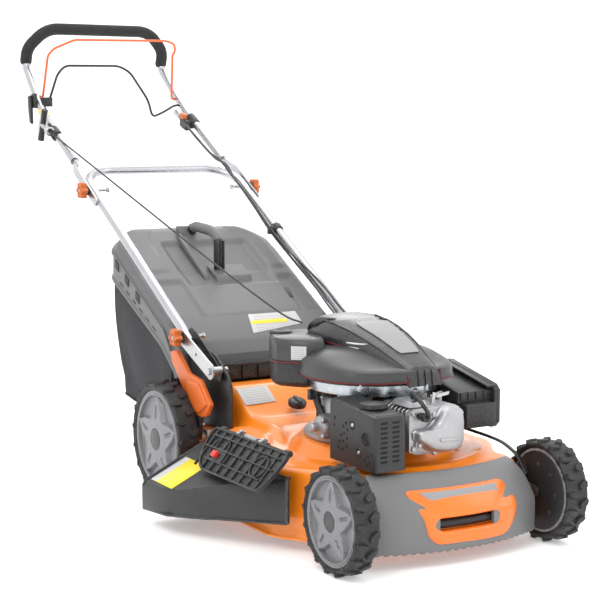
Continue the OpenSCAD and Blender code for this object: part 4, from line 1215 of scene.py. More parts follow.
def tyre(name, x, y, r, rim):
    """Rubber tyre: shouldered carcass and chunky staggered lugs."""
    at = (x, y, r)
    w = HALF_TYRE
    form = Form().lathe([(rim, -w + 5), (rim + 2, -w + 2), (r - 13, -w), (r - 9, -w + 0.6), (r - 6.5, -w + 4),
                         (r - 6, -w + 9),
                         (r - 6, w - 9), (r - 6.5, w - 4), (r - 9, w - 0.6), (r - 13, w), (rim + 2, w - 2),
                         (rim, w - 5),
                         (rim, -w + 5)], at, "x", 120)
    carcass = mesh_object("carcass", form, RUBBER)
    big = rim > 80
    lug = Form()
    rows = []
    for z, keep in ((-3.5, 1.0), (2.4, 0.94), (4.6, 0.86)):
        rows.append([(u * keep, v * keep, z) for u,
                     v in ((-12.5, -6), (-4, -9), (7, -6), (12, 0), (8, 7), (-3, 6), (-12.5, 2))])
    lug.grid(rows, True, (True, True))
    count = 34 if big else 28
    lugs = repeated("lugs", lug, RUBBER, count, (0, 0, r - 5), RING_TREE, slant=0.45, stagger=11.5, centre=at)
    side = Form()
    rows = []
    for z, keep in ((-5, 1.0), (1.5, 0.9)):
        rows.append([(u * keep, v * keep, z) for u, v in ((-2.6, -5), (2.6, -6.5), (2.6, 6.5), (-2.6, 5))])
    side.grid(rows, True, (True, True))
    blocks = repeated("blocks", side, RUBBER, count, (0, 0, r - 9), RING_TREE, slant=0.0, stagger=w - 1.8, centre=at)
    obj = merged("tyre_" + name, carcass, lugs, blocks)
    soften(obj, 30)
    fasten(obj, "wheel_" + name, "tyre_rubber", ("tyre_" + name,))


def star_panel(angle, distance, rim):
    """How far the outer cap's face stands in from its rim: a five-pointed star in front of deep pockets."""
    off = abs((angle * 5 / (2 * math.pi)) % 1.0 - 0.5) * 2
    share = distance / rim
    reach = 0.50 + 0.42 * off ** 1.5
    pocket = ease(share, reach - 0.025, reach + 0.02) * (1 - ease(share, 0.885, 0.905))
    lane = (1 - ease(abs(1 - off) * share, 0.045, 0.07)) * ease(share, 0.42, 0.45) * (1 - ease(share, 0.69, 0.72))
    edge = 1 - ease(abs(share - reach + 0.05), 0.012, 0.03)
    return 9.0 * pocket + 4.5 * lane - 1.0 * edge * (share > 0.36) + 1.8 * (1 - ease(abs(share - 0.95), 0.010, 0.025))


def hub(name, x, y, r, rim, side):
    """Moulded wheel: star face outside, rim, and a dark dust cover inside."""
    rows, steps = [], 240
    shares = [0.235, 0.26, 0.30, 0.335, 0.36, 0.385, 0.41, 0.425, 0.44, 0.455, 0.48, 0.505, 0.53, 0.555, 0.58, 0.605,
              0.63,
              0.655, 0.68, 0.695, 0.71, 0.73, 0.755, 0.78, 0.805, 0.83, 0.855, 0.875, 0.89, 0.905, 0.925, 0.94, 0.95,
              0.965, 0.99]
    face = x + side * (HALF_TYRE - 1.8)
    for share in shares:
        d = share * rim
        crown = 3.2 * (1 - ease(share, 0.2, 1.0))
        row = []
        for k in range(steps):
            a = 2 * math.pi * k / steps
            inward = star_panel(a, d, rim)
            row.append((face + side * (crown - inward - 2.0), y + d * math.sin(a), r + d * math.cos(a)))
        rows.append(row)
    rows.append([(face - side * 3, y + (rim + 0.3) * math.sin(2 * math.pi * k / steps),
                  r + (rim + 0.3) * math.cos(2 * math.pi * k / steps))
                 for k in range(steps)])
    for depth, d in ((40, rim + 0.3), (44, rim - 2), (44, rim - 8), (16, rim - 12), (14, 0.235 * rim)):
        rows.append([(face - side * depth, y + d * math.sin(2 * math.pi * k / steps),
                      r + d * math.cos(2 * math.pi * k / steps))
                     for k in range(steps)])
    rows.append(rows[0])
    form = Form().grid(rows, True)
    body = "wheel_" + name
    piece("hub_" + name, form, HUB, body, "hub_grey", ("wheel_" + name,), crease=34)
    knob = 0.235 * rim
    at = (face, y, r)
    cap = Form().lathe([(knob * 0.9, -16 * side), (knob + 1.4, -4 * side), (knob + 1.4, -0.2 * side),
                        (knob * 0.92, 1.1 * side),
                        (knob * 0.4, 1.6 * side), (0.5, 1.7 * side)], at, "x", 48)
    piece("hub_cap_" + name, cap, HUB_CAP, body, "hub_grey", bevel=0.5)
    back = Form().lathe([(9.5, -49.2 * side), (14, -50 * side), (rim * 0.45, -49 * side), (rim * 0.86, -46.5 * side),
                         (rim * 0.95, -43 * side),
                         (rim * 0.95, -39 * side), (9.5, -41 * side), (9.5, -49.2 * side)], at, "x", 72)
    for k in range(8):
        a = math.radians(45 * k)
        u, v = rim * 0.62 * math.cos(a), rim * 0.62 * math.sin(a)
        back.lathe([(3, -49.4 * side), (4, -48 * side), (4, -44 * side)], (face, y + u, r + v), "x", 12)
    piece("dust_cover_" + name, back, BLACK_PLASTIC, body, "black_plastic", bevel=0.6)


def height_lever():
    """Orange lever: slim grip leaning back over a thick faceted foot."""
    grip = [(158, 222), (176, 198), (196, 190), (240, 192), (264, 206), (300, 250), (342, 288), (349, 312), (318, 318),
            (262, 276),
            (206, 268)]
    form = Form().prism(grip, -231, -219)
    form.prism([(166, 222), (200, 200), (250, 196), (258, 214), (256, 262), (208, 262)], -236, -216)
    lever = piece("lever_grip", form, LEVER_ORANGE, "rear_axle", "deck_orange", ("height_lever",), bevel=3.2,
                  segments=4)
    tail = Form().prism([(200, 206), (214, 138), (244, 134), (254, 206)], -230, -221)
    piece("lever_tail", tail, BLACK_PLASTIC, "rear_axle", "black_plastic", bevel=2)
    pin = Form().lathe([(9, -238), (12, -236), (12, -212), (9, -212)], (0, 228, 143), "x", 28)
    piece("lever_pin", pin, PLATED, "rear_axle", "plated_steel")
    spring = [(-212 + 4 * t, 252 + 9 * math.cos(t * 40), 168 + 9 * math.sin(t * 40))
              for t in (k / 120 for k in range(121))]
    piece("lever_spring", Form().tube(spring, 1.1, 8), PLATED, "deck", "plated_steel")
    return lever


# ---- handle ----

LEG_RISE = math.radians(29.77)
SLOPE = math.tan(LEG_RISE)
CABLE_SPLIT_Y = 640


def tube_z(y):
    """Height of the handle tube's middle line at a place along the machine."""
    return 347 + (y - 306) * SLOPE


def both(points):
    """A left-hand path joined to its mirror image on the right."""
    return list(points) + [(-x, y, z) for x, y, z in reversed(points)]


def lower_tube():
    """Lower handle tube with a plain sleeve on its crossbar."""
    path = rounded(both([(208, 290, tube_z(290)), (208, 868, tube_z(868)), (160, 907, 690)]), 46, 10)
    form = Form().tube(spaced(path, 14), 11, 28)
    piece("lower_tube", form, TUBE, "lower_handle", "tube_steel", ("lower_handle",), uv="run")
    band = Form().tube(spaced([(-66, 909.0, 693.6), (30, 909.0, 693.6)], 8), 8.2, 28)
    piece("crossbar_sleeve", band, BLANK_YELLOW, "lower_handle", "tube_steel")


def grip_path(legs):
    lean = math.radians(109)
    out = []
    for x, v in legs:
        out.append((x, 1310 + v * math.cos(lean), 963 + v * math.sin(lean)))
    return out


def upper_tube():
    """Upper handle tube with its flattened joint ends and a plain sleeve."""
    side = [(208, 944, tube_z(944)), (208, 1174, tube_z(1174)), (199, 1310, 963)]
    loop = grip_path([(199, 28 + 20), (126 + 22, 28 + 73)])
    pts = side + loop
    path = rounded(both(pts), 60, 10)
    form = Form().tube(spaced(path, 12), 11, 28)
    for s in (-1, 1):
        low, high = Vector((s * 221.2, 774, tube_z(774))), Vector((s * 221.2, 930, tube_z(930)))
        rows = []
        for t, w, x in ((0.0, 7, 221.2), (0.03, 10, 221.2), (0.8, 11.2, 221.2), (0.92, 11, 216), (1.04, 10.4, 209)):
            mid = low.lerp(high, t)
            up = Vector((0, -math.sin(LEG_RISE), math.cos(LEG_RISE)))
            thick = 2.0 if x > 220 else 6.0
            row = [Vector((s * (x + dx), 0, 0)) + Vector((0, mid.y, mid.z)) + up * dz for dx, dz in
                   ((-thick, -w), (thick, -w), (thick + 0.6, 0), (thick, w), (-thick, w), (-thick - 0.6, 0))]
            rows.append([tuple(p) for p in row])
        form.grid(rows, True, (True, True))
    piece("upper_tube", form, TUBE, "upper_handle", "tube_steel", ("upper_handle",), bevel=0, uv="run")
    sleeve = Form().tube(spaced([(-208, 1128, tube_z(1128)), (-208, 1166, tube_z(1166))], 6), 11.5, 28)
    piece("tube_sleeve", sleeve, BLANK_YELLOW, "upper_handle", "tube_steel")


def grip():
    side = grip_path([(199, 2), (199, 46), (150, 101)])
    path = spaced(rounded(both(side), 60, 14), 6)
    form = Form().tube(path, lambda t: 15.5 - 2.6 * (max(0, 0.012 - min(t, 1 - t)) / 0.012) ** 2, 32)
    piece("grip_foam", form, FOAM, "upper_handle", "foam", ("foam_grip",), uv="run")


def bail(name, pts, mat, slot, node, corner):
    """One sprung bail of bent wire."""
    path = spaced(rounded(pts, corner, 8), 10)
    piece(name, Form().tube(path, 3.1, 14), mat, node, slot, (node,))


def bails():
    """The brake bail and the drive bail."""
    b, d = (1212, 872), (1186, 856)
    bail("brake_wire", [(-212, *b), (-189, *b), (-191, 1162, 984), (-176, 1158, 1000), (-120, 1152, 1024),
                        (146, 1152, 1028), (170, 1154, 1020),
                        (172, 1156, 1000), (166, 1160, 990), (172, 1174, 960), (180, 1196, 906), (186, *b), (212, *b)],
                        BAIL_ORANGE,
         "bail_orange", "brake_bail", 12)
    bail("drive_wire", [(-212, *d), (-184, *d), (-172, 1146, 934), (-152, 1142, 956), (0, 1142, 958), (32, 1142, 942),
                        (84, 1142, 868),
                        (98, 1146, 823), (138, 1164, 836), (184, *d), (212, *d)], BAIL_BLACK, "bail_black",
                        "drive_bail", 16)


def handle_parts():
    """Pivot block and lever on the left tube, rope guide, cable stop and clips."""
    form = Form()
    form.box((-204, 1168, 850), (-178, 1200, 874))
    for k in range(4):
        form.box((-203 + k * 6, 1166, 852), (-200 + k * 6, 1169, 872))
    form.box((-224, 1180, 846), (-216, 1204, 884))
    piece("bail_block", form, BLACK_PLASTIC, "upper_handle", "black_plastic", bevel=2, segments=3)
    lever = Form().prism([(1196, 880), (1212, 876), (1208, 838), (1200, 808), (1188, 804), (1190, 842)], -232, -224)
    piece("side_lever", lever, BLACK_PLASTIC, "upper_handle", "black_plastic", bevel=2.4, segments=3)
    guide = Form()
    guide.tube([(-212, 1050, tube_z(1050)), (-212, 1078, tube_z(1078))], 14.5, 24)
    piece("guide_clamp", guide, BLACK_PLASTIC, "upper_handle", "black_plastic", ("handle_fittings",), bevel=1)
    eye = Vector((-228, 1064, 785))
    coil = []
    for k in range(90):
        a = 2 * math.pi * k / 36
        coil.append(eye + Vector((9.5 * math.cos(a), -8 + k * 0.20, 9.5 * math.sin(a))))
    coil = [Vector((-216, 1066, 792))] + coil + [Vector((-214, 1052, 776))]
    piece("rope_guide", Form().tube(coil, 2.6, 12), PLATED, "upper_handle", "plated_steel")
    stop = Form()
    stop.tube([(208, 1102, tube_z(1102)), (208, 1138, tube_z(1138))], 13.6, 24)
    stop.box((182, 1106, 792), (204, 1140, 816))
    stop.prism([(1104, 786), (1142, 800), (1138, 824), (1100, 812)], 176, 186)
    piece("cable_stop", stop, BLACK_PLASTIC, "upper_handle", "black_plastic", bevel=2, segments=3)
    slide = Form().prism([(1120, 812), (1142, 820), (1140, 836), (1118, 830)], 176, 190)
    piece("cable_slide", slide, KNOB_ORANGE, "upper_handle", "knob_orange", bevel=2.5, segments=3)
    clips = Form()
    for y in (653,):
        clips.tube([(208, y - 9, tube_z(y - 9)), (208, y + 9, tube_z(y + 9))], 14, 22)
        clips.box((184, y - 8, tube_z(y) - 12), (202, y + 8, tube_z(y) + 8))
    piece("tube_clip", clips, BLACK_PLASTIC, "lower_handle", "black_plastic", bevel=1.6)
    pull = Form()
    a, b = Vector((-229.5, 1090, 841)), Vector((-229.5, 1122, 763))
    pull.tube([a.lerp(b, t) for t in (k / 12 for k in range(13))], lambda t: 8.6 - 1.8 * math.sin(math.pi * t), 24)
    piece("pull_grip", pull, BLACK_PLASTIC, "starter_handle", "black_plastic", ("starter_handle",), bevel=1.6,
          segments=3)
    cheek = Form()
    mid = a.lerp(b, 0.5)
    cheek.tube([mid + Vector((0, 2, 1)), Vector((-228.8, 1078, 790))], lambda t: 8 - 3.4 * t, 20)
    cheek.tube([a + Vector((-4, 5, 2)), mid + Vector((-5, 8, 3)), b + Vector((-4, 5, 2))], 4.2, 12, 0.6)
    piece("pull_shell", cheek, PLATED, "starter_handle", "plated_steel", bevel=0.8)


def star_knob(name, side, y, z, body):
    """Star knob with six lobes, a black spacer and its plated stud."""
    x = side * 223.8
    lobes = []
    for k in range(96):
        a = 2 * math.pi * k / 96
        radius = 17.4 + 3.8 * math.cos(6 * a)
        lobes.append((radius * math.cos(a), radius * math.sin(a)))
    rows = []
    for keep, d in ((0.80, 5), (0.95, 6), (1.0, 9), (1.0, 17), (0.96, 20.5), (0.86, 22.2), (0.62, 22.6), (0.52, 20.6),
                    (0.02, 20.2)):
        rows.append([(x + side * d, y + u * keep, z + v * keep) for u, v in lobes])
    form = Form().grid(rows, True, (True, True))
    piece(name, form, KNOB_ORANGE, body, "knob_orange", (name,), crease=30)
    trim = Form().lathe([(9, 0), (12.4, 0.4), (12.4, 4.4), (10, 6)], (x, y, z), "x", 30)
    if side < 0:
        trim = Form().lathe([(9, 0), (12.4, -0.4), (12.4, -4.4), (10, -6)], (x, y, z), "x", 30)
    piece(name + "_spacer", trim, BLACK_PLASTIC, body, "black_plastic", bevel=0.4)
    stud = Form()
    stud.lathe([(3.9, -52 * side), (3.9, 21 * side)], (x, y, z), "x", 18)
    stud.lathe([(4.2, 19.8 * side), (4.6, 21.6 * side), (3, 22.2 * side)], (x, y, z), "x", 6)
    stud.hex((x - (56 if side > 0 else -50) * 1.0, y, z), "x", 7, 6)
    piece(name + "_stud", stud, PLATED, body, "plated_steel")


BRAKE_TOP = [(192, 1196, 834), (190, 1130, 802), (188, 1050, 762), (187, 950, 716), (187, 890, 702), (188, 846, 670)]
DRIVE_TOP = [(184, 1176, 838), (178, 1120, 812), (168, 1040, 780), (166, 940, 732), (172, 892, 712), (177, 850, 684)]
BRAKE_LOW = [(188, 834, 662), (188, 740, 602), (188, 650, 541), (190, 540, 478), (186, 430, 424), (160, 320, 388),
             (124, 200, 366),
             (96, 92, 352)]
DRIVE_LOW = [(177, 838, 676), (180, 740, 616), (186, 654, 552), (184, 560, 504), (170, 450, 470), (146, 330, 440),
             (122, 210, 400),
             (100, 96, 366)]
ROPE_TOP = [(-228, 1064, 785), (-211, 950, 740), (-196, 850, 700)]
ROPE_LOW = [(-196, 850, 700), (-155, 580, 591), (-118, 332, 492), (-80, 128, 412), (-62, 66, 396)]


def cables():
    """Control cables and the starter rope: an upper and a lower stretch of each, meeting at the fold."""
    for name, top, low, radius, mat in (("brake_cable", BRAKE_TOP, BRAKE_LOW, 3.0, CABLE),
                                        ("drive_cable", DRIVE_TOP, DRIVE_LOW, 3.0, CABLE),
                                        ("starter_rope", ROPE_TOP, ROPE_LOW, 2.1, ROPE)):
        full = smooth_path(top + low[1 if name == "starter_rope" else 0:], 12)
        mid = min(range(len(full)), key=lambda i: abs(full[i].y - CABLE_SPLIT_Y))
        for part, path in (("upper", full[:mid + 1]), ("lower", full[mid:])):
            obj = mesh_object(f"{name}_{part}", Form().tube(path, radius, 12), mat, "run")
            soften(obj, 60)
            if part == "upper":
                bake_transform(obj)
                nodes = ("upper_cables",)
            else:
                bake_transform(obj)
                nodes = ("lower_cables",)
            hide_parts(*nodes)
    ends = Form()
    ends.tube([(192, 1200, 836), (191, 1160, 817)], 4.6, 14)
    ends.tube([(184, 1180, 840), (181, 1146, 824)], 4.6, 14)
    piece("cable_ends", ends, PLATED, "upper_handle", "plated_steel")


# ---- grass bag and flaps ----

LID_LINE = [(340, 256), (348, 276), (415, 366), (748, 549), (786, 549), (800, 534), (800, 484)]


def taper(y):
    """Share of the bag's full width left at y: its two back corners are cut off in plan."""
    return 1 - 0.44 * ease(y, 684, 806)


def lid_relief(x, s):
    """Moulded relief of the lid over its width and along its run from the front lip, in millimetres."""
    lift = 0.0
    tray = raise_in(x, s, -88, 140, 268, 452, 9)
    lift -= 9 * tray
    lift -= 7 * raise_in(x, s, -168, -104, 60, 292, 8)
    lift -= 7 * raise_in(x, s, 150, 186, 60, 292, 8)
    lift += 3 * raise_in(x, s, -90, 140, 118, 322, 8)
    lift += 3.5 * raise_in(x, s, -190, -120, 330, 520, 8)
    lift += 3.5 * raise_in(x, s, 150, 190, 330, 520, 8)
    return lift


def bag_lid():
    """Hard lid of the grass bag with its moulded relief."""
    path = spaced(rounded([Vector((0, y, z)) for y, z in LID_LINE], 22, 6), 5)
    runs = np.cumsum([0] + [(b - a).length for a, b in zip(path, path[1:])])
    rows = []
    columns = 132
    for i, p in enumerate(path):
        along = (path[min(i + 1, len(path) - 1)] - path[max(i - 1, 0)]).normalized()
        out = Vector((0, -along.z, along.y))
        row = []
        for k in range(columns + 1):
            x = -217 + 434 * k / columns
            drop = 20 * ease(abs(x), 196, 217) ** 1.4
            q = p + out * (lid_relief(x, runs[i]) * ease(runs[i], 120, 150) - drop)
            row.append((x * taper(p.y), q.y, q.z))
        rows.append(row)
    shell = mesh_object("lid_shell", Form().grid(rows), LID_GREY, turn_out=False)
    if sum(f.normal.z * f.area for f in shell.data.polygons) < 0:
        shell.data.flip_normals()
    skin = shell.modifiers.new("wall", "SOLIDIFY")
    skin.thickness, skin.offset = 0.003, -1
    settle(shell)
    soften(shell, 44)
    fasten(shell, "bag", "lid_grey", ("bag_lid",))
    rim, skirt = Form(), Form()
    stops = [338 + 461 * k / 40 for k in range(41)]
    high = lambda y: 366 + (y - 415) * 183 / 333.0 - 17 if y > 415 else 258 + (y - 338) * 91 / 77.0
    low = lambda y: 314 + (min(y, 772) - 420) * 162 / 352.0 if y > 420 else 252 + (y - 338) * 62 / 82.0
    for side in (-1, 1):
        skirt.grid([[(side * 216.5 * taper(y), y, min(high(y), 531)), (side * 217.4 * taper(y), y, low(y) + 8),
                     (side * 216.5 * taper(y), y, low(y))]
                    for y in stops])
        rim.tube([(side * 216 * taper(y), y, low(y) + 1) for y in stops], 5.0, 12)
    back = 216 * taper(799)
    rim.tube([(-back, 798, low(799) + 1), (back, 798, low(799) + 1)], 5.0, 12)
    skirt.grid([[(-back, 800, 531), (-back, 800.6, 500), (-back, 800, 478)],
                [(back, 800, 531), (back, 800.6, 500), (back, 800, 478)]])
    piece("lid_rim", rim, LID_GREY, "bag", "lid_grey")
    piece("lid_skirt", skirt, LID_GREY, "bag", "lid_grey", wall=2.4)
    # Painted shade: the skirt's side slits are thin black bars on the solid skirt, standing in for dark openings.
    slits = Form()
    for side in (-1, 1):
        for k in range(6):
            y = 452 + 36 * k
            z = 314 + (y - 420) * 162 / 352.0 + 13
            x0, x1 = sorted((side * 216.6, side * 218.2))
            slits.prism([(y, z), (y + 18, z + 8.3), (y + 17, z + 11.3), (y - 1, z + 3)], x0, x1)
    piece("lid_slits", slits, BLACK_PLASTIC, "bag", "black_plastic")
    tabs = Form()
    for side in (-1, 1):
        for y in (540, 600, 656):
            z = 366 + (y - 415) * 183 / 333.0 - 17
            x0, x1 = sorted((side * 217, side * 219.5))
            for j in range(4):
                tabs.prism([(y + j * 5, z - 22 + j * 2.7), (y + j * 5 + 3, z - 20.4 + j * 2.7),
                            (y + j * 5 + 3, z - 2 + j * 2.7), (y + j * 5, z - 3.6 + j * 2.7)],
                           x0, x1)
    piece("lid_latch_ribs", tabs, LID_DARK, "bag", "lid_grey")
    band = Form().prism([(337.5, 254), (344, 272), (362, 296), (360, 300), (342, 276), (334, 256)], -190, 190)
    piece("lid_front_band", band, LID_DARK, "bag", "lid_grey", bevel=1.5)
    arch = Form()
    path = spaced(rounded([Vector(p) for p in ((6, 734, 536), (6, 706, 557), (6, 604, 550), (6, 577, 530),
                                               (6, 576, 452))], 26, 9), 3)
    arch.tube(path, lambda t: 11.4 + 1.5 * math.sin(math.pi * t), 28, 0.84, up=(1, 0, 0))
    piece("carry_handle", arch, LID_GREY, "bag", "lid_grey")
    cuffs = Form()
    for k in range(3):
        cuffs.box((-4 + 7.4 * k, 561, 462), (-0.4 + 7.4 * k, 567, 530))
    cuffs.tube([(6, 577, 461), (6, 577, 522), (6, 580, 532)], 12.6, 28, 0.9, up=(1, 0, 0))
    cuffs.tube([(6, 722, 545), (6, 712, 553)], 12.8, 28, 0.9, up=(1, 0, 0))
    piece("handle_cuffs", cuffs, BLACK_PLASTIC, "bag", "black_plastic", bevel=0.8)
    foot = Form().prism([(548, 431), (606, 463), (606, 470), (552, 448)], -12, 82)
    foot.prism([(716, 524), (744, 540), (742, 556), (724, 556)], -28, 18)
    foot.prism([(560, 438), (716, 524), (712, 540), (562, 452)], -40, -26)
    piece("handle_feet", foot, LID_GREY, "bag", "lid_grey", bevel=3, segments=3)


def bag_body():
    """Sagging cloth sack: rim under the lid, slack walls with folds, and a flat floor."""
    steps = 176
    plan = [(-213, 345), (213, 345), (213, 772), (-213, 772)]
    loop = rounded([Vector((x, y, 0)) for x, y in plan + plan[:2]], 26, 6)[1:-7]
    loop = spaced(loop, 4)
    runs = np.cumsum([0] + [(b - a).length for a, b in zip(loop, loop[1:])])
    at = np.linspace(0, runs[-1], steps, endpoint=False)
    ring = [(float(np.interp(s, runs, [p.x for p in loop])), float(np.interp(s, runs, [p.y for p in loop])))
            for s in at]
    rows, spots = [], []
    levels = 34

    def put(x, y, t):
        top = 318 + (max(y, 345) - 420) * 162 / 352.0 if y > 420 else 254 + (y - 345) * 62 / 75.0
        back = ease(y, 560, 772)
        low = 162 + 5 * math.sin(y * 0.02)
        z = top + (low - top) * t
        shift = -72 * back * t + 26 * back * math.sin(math.pi * min(1, t * 1.15)) * (1 if abs(x) < 205 else 0.7)
        waist = -9 * math.exp(-((t - 0.83) / 0.07) ** 2) * back
        fold = 2.6 * math.sin(y * 0.034 + 3.1 * t) * math.sin(math.pi * t) + 1.8 * math.sin(y * 0.011 + x * 0.035 + 7 * t)
        out = 4 * math.sin(math.pi * t) * (abs(x) > 180)
        sx = math.copysign(1, x)
        return ((x + sx * min(out + fold * (abs(x) > 180) - 5 * t, 5)) * taper(y),
                y + shift + waist + fold * (y > 700), z)

    for i in range(levels + 1):
        t = i / levels
        rows.append([put(x, y, t) for x, y in ring])
        spots.append([(s * MM, t * 0.3) for s in at])
    for share in (0.97, 0.9, 0.7, 0.45, 0.2, 0.02):
        base = rows[levels]
        rows.append([(x * share, 530 + (y - 530) * share, z - 2 * (1 - share) - 1.5) for x, y, z in base])
        spots.append([(x * MM, y * MM) for x, y, _ in rows[-1]])
    form = Form().grid(rows, True, (False, True), spots)
    obj = mesh_object("bag_cloth", form, CLOTH, "cloth")
    skin = obj.modifiers.new("wall", "SOLIDIFY")
    skin.thickness, skin.offset = 0.0012, -1
    settle(obj)
    soften(obj, 70)
    fasten(obj, "bag", "bag_fabric", ("bag_body",))
    seams = Form()
    for x, y in ((-213, 352), (213, 352), (-213, 768), (213, 768)):
        path = [Vector(put(x * 0.995, y, t)) + Vector((math.copysign(1.0, x), 1.0 if y > 700 else 0, 0))
                for t in (k / 24 for k in range(25))]
        seams.tube(path, 1.8, 8, 0.7)
    seams.tube([Vector(put(x, y, 0.985)) + Vector((math.copysign(1.2, x) if abs(x) > 205 else 0, 0, 0)) for x,
                y in ring + ring[:1]], 1.9, 8)
    seam = mesh_object("bag_seams", seams, CLOTH, "cloth")
    soften(seam, 60)
    fasten(seam, "bag", "bag_fabric")
    stitch = Form().box((-0.45, -2.4, -0.45), (0.45, 2.4, 0.45))
    rowsof = []
    for side in (-1, 1):
        rowsof.append(repeated(f"stitches_{'left' if side < 0 else 'right'}", stitch, BLANK_WHITE, 43,
                               (side * 213.6, 424, 314.5), step=(0, 6, 2.76)))
    thread = merged("bag_stitches", *rowsof)
    soften(thread)
    fasten(thread, "bag", "bag_fabric")
    area = sum(f.area for f in obj.data.polygons) / 2
    return area


def rear_flap():
    """Hinged flap that carries the lid's slope down to the deck, with a darker band near its foot."""
    form = Form()
    form.prism([(310, 268), (314, 266), (336, 320), (343, 328), (400, 370), (400, 375), (340, 334), (331, 324)], -184,
               184)
    for side in (-1, 1):
        form.prism([(312, 270), (318, 262), (402, 366), (400, 375), (340, 334), (331, 324)],
                   *sorted((side * 184, side * 181)))
    piece("discharge_flap", form, LID_GREY, "rear_flap", "lid_grey", ("rear_flap",), bevel=1.6, segments=3)
    foot = Form().lathe([(4, -184), (5.4, -183), (5.4, 183), (4, 184)], (0, 308, 270), "x", 20)
    foot.prism([(308, 269), (312, 267), (324, 298), (320, 300)], -184.4, 184.4)
    piece("flap_band", foot, LID_DARK, "rear_flap", "lid_grey", bevel=1.0)


def side_flap():
    """Spring flap over the side opening: rounded plate with crossing ribs, a red cap and hinge barrels."""
    turn = Matrix.Translation((-262, 0, 197)) @ Matrix.Rotation(math.radians(-48), 4, "Y")
    flat = [(-96, -222), (-96, -4), (-86, 18), (-60, 38), (-30, 50), (-4, 50), (-4, -250), (-34, -250), (-70, -244),
            (-90, -234)]
    outline = [(p.x, p.y) for p in rounded([Vector((x, y, 0)) for x, y in flat + flat[:2]], 12, 5)[1:-6]]
    form = Form().prism(outline, 4, 7.4, "z", turn)
    mid = Vector((-50, -100, 0))
    lip = [Vector((x, y, 9.5)) + (mid - Vector((x, y, 0))).normalized() * 2.5 for x, y in outline]
    form.tube([turn @ p for p in lip + lip[:1]], 2.6, 8)
    for u in (-72, -46, -20):
        form.box((u - 1.2, -236 if u > -60 else -214, 7), (u + 1.2, 34 if u > -60 else 10, 13), turn)
    for k in range(9):
        v = -222 + k * 31
        form.box((-92, v - 1.2, 7), (-6, v + 1.2, 12), turn)
    for k, (u, v, r) in enumerate(((-48, -186, 26), (-44, -20, 30))):
        ring = [turn @ Vector((u + r * math.cos(a) * 0.9, v + r * math.sin(a), 10))
                for a in (2 * math.pi * j / 28 for j in range(29))]
        form.tube(ring, 2.0, 8)
    piece("side_flap_plate", form, SOFT_BLACK, "side_flap", "black_plastic", ("side_flap",), bevel=0.7)
    pad = Form().box((-74, -56, 7), (-42, -14, 11.5), turn)
    piece("side_flap_pad", pad, SOFT_BLACK, "side_flap", "black_plastic", bevel=1.5)
    cap = Form().box((-66, -36, 11), (-52, -20, 21), turn)
    piece("side_flap_cap", cap, RED, "side_flap", "black_plastic", bevel=2.5, segments=4)
    hinge = Form()
    hinge.tube([turn @ Vector((0, v, 0)) for v in (-238, 38)], 3.2, 16)
    for v in (-236, -150, -60, 20):
        hinge.tube([turn @ Vector((0, v, 0)), turn @ Vector((0, v + 18, 0))], 6.2, 20)
    piece("flap_hinge", hinge, SOFT_BLACK, "side_flap", "black_plastic", bevel=0.8)
    ears = Form()
    for v in (-132, -42):
        ears.box((-270, v, 186), (-252, v + 7, 205))
        ears.hex((-261, v + 3, 203), "z", 5, 5)
    coil = [Vector((-262 + 6.9 * math.cos(t * 0.9), -110 + 0.5 * t, 197 + 6.9 * math.sin(t * 0.9))) for t in range(100)]
    ears.tube(coil, 0.9, 8)
    piece("flap_hinge_ears", ears, PLATED, "deck", "plated_steel", bevel=0.6)


def side_chute():
    """Fixed deflector: sloping top, tall front wall cut on a slant, folded rims."""
    form = Form()
    rows = []
    for y in (132, 128, 60, 0, -60, -120, -180, -226):
        reach = 398 if y > 20 else 398 - (20 - y) * 138 / 252.0
        out = -reach
        top = lambda x: 150 - (x + 258) * -62 / 132.0
        foot = 30 + 10 * ease(-y, -130, -10) + 22 * ease(-y, -10, 230)
        rows.append([(-262.4, y, 152), (out * 0.5 - 131, y, top(out * 0.5 - 131) + 1),
                     (out + 8, y, top(out + 8) + 0.5), (out + 1, y, top(out) - 7),
                     (out, y, 70), (out, y, foot)])
    form.grid(rows)
    back = [(-262.4, 131, 152), (-390, 131, 90), (-397, 131, 80), (-397, 131, 28), (-262.4, 131, 28)]
    form.add(back, [tuple(range(5))])
    obj = piece("chute_shell", form, SOFT_BLACK, "deck", "black_plastic", ("side_chute",), wall=2.6, bevel=1.4,
                segments=3, crease=30)
    rims = Form()
    rims.tube([(-395.4, 129, 31), (-395.4, 20, 41), (-330, -104, 52), (-264, -226, 63)], 2.6, 10)
    rims.tube([(-262, 131, 151), (-390, 131, 89), (-395.6, 131, 80), (-395.6, 131, 30)], 2.4, 10)
    rims.tube([(-264, -228, 64), (-264, -228, 150)], 4.0, 12)
    piece("chute_rims", rims, SOFT_BLACK, "deck", "black_plastic")
    return obj


def wash_cap():
    """Cap on the deck's top and the hose nozzle beside it."""
    form = Form()
    at = Vector((-33, 136, 211))
    out = Vector((0, -0.31, 0.95)).normalized()
    turn = Matrix.Translation(at) @ out.to_track_quat("Z", "Y").to_matrix().to_4x4()
    form.lathe([(10, -6), (19, -4), (20, 0), (20, 5), (17, 9), (8, 10), (1, 10)], (0, 0, 0), "z", 36, turn)
    form.box((-4, -15, 9), (4, 15, 13), turn)
    piece("deck_cap", form, SOFT_BLACK, "deck", "black_plastic", ("wash_port",), bevel=1.2)
    port = Form().lathe([(5, 142), (9, 142), (9, 184), (11, 186), (11, 194), (5, 194), (5, 142)], (130, 205, 0), "z",
                        32)
    piece("wash_nozzle", port, BLACK_PLASTIC, "deck", "black_plastic", bevel=0.5)


# ---- sub-parts kept from the frame ----

KEPT = {"axle_bushes": WHITE_NYLON, "gearbox": CAST, "drive_belt": BELT, "deck_bolts": PLATED, "crankshaft": AXLE,
        "flywheel": IRON,
        "blade": DARK_STEEL, "blade_bolt": PLATED, "rear_axle": AXLE, "front_axle": AXLE, "height_link": PLATED}


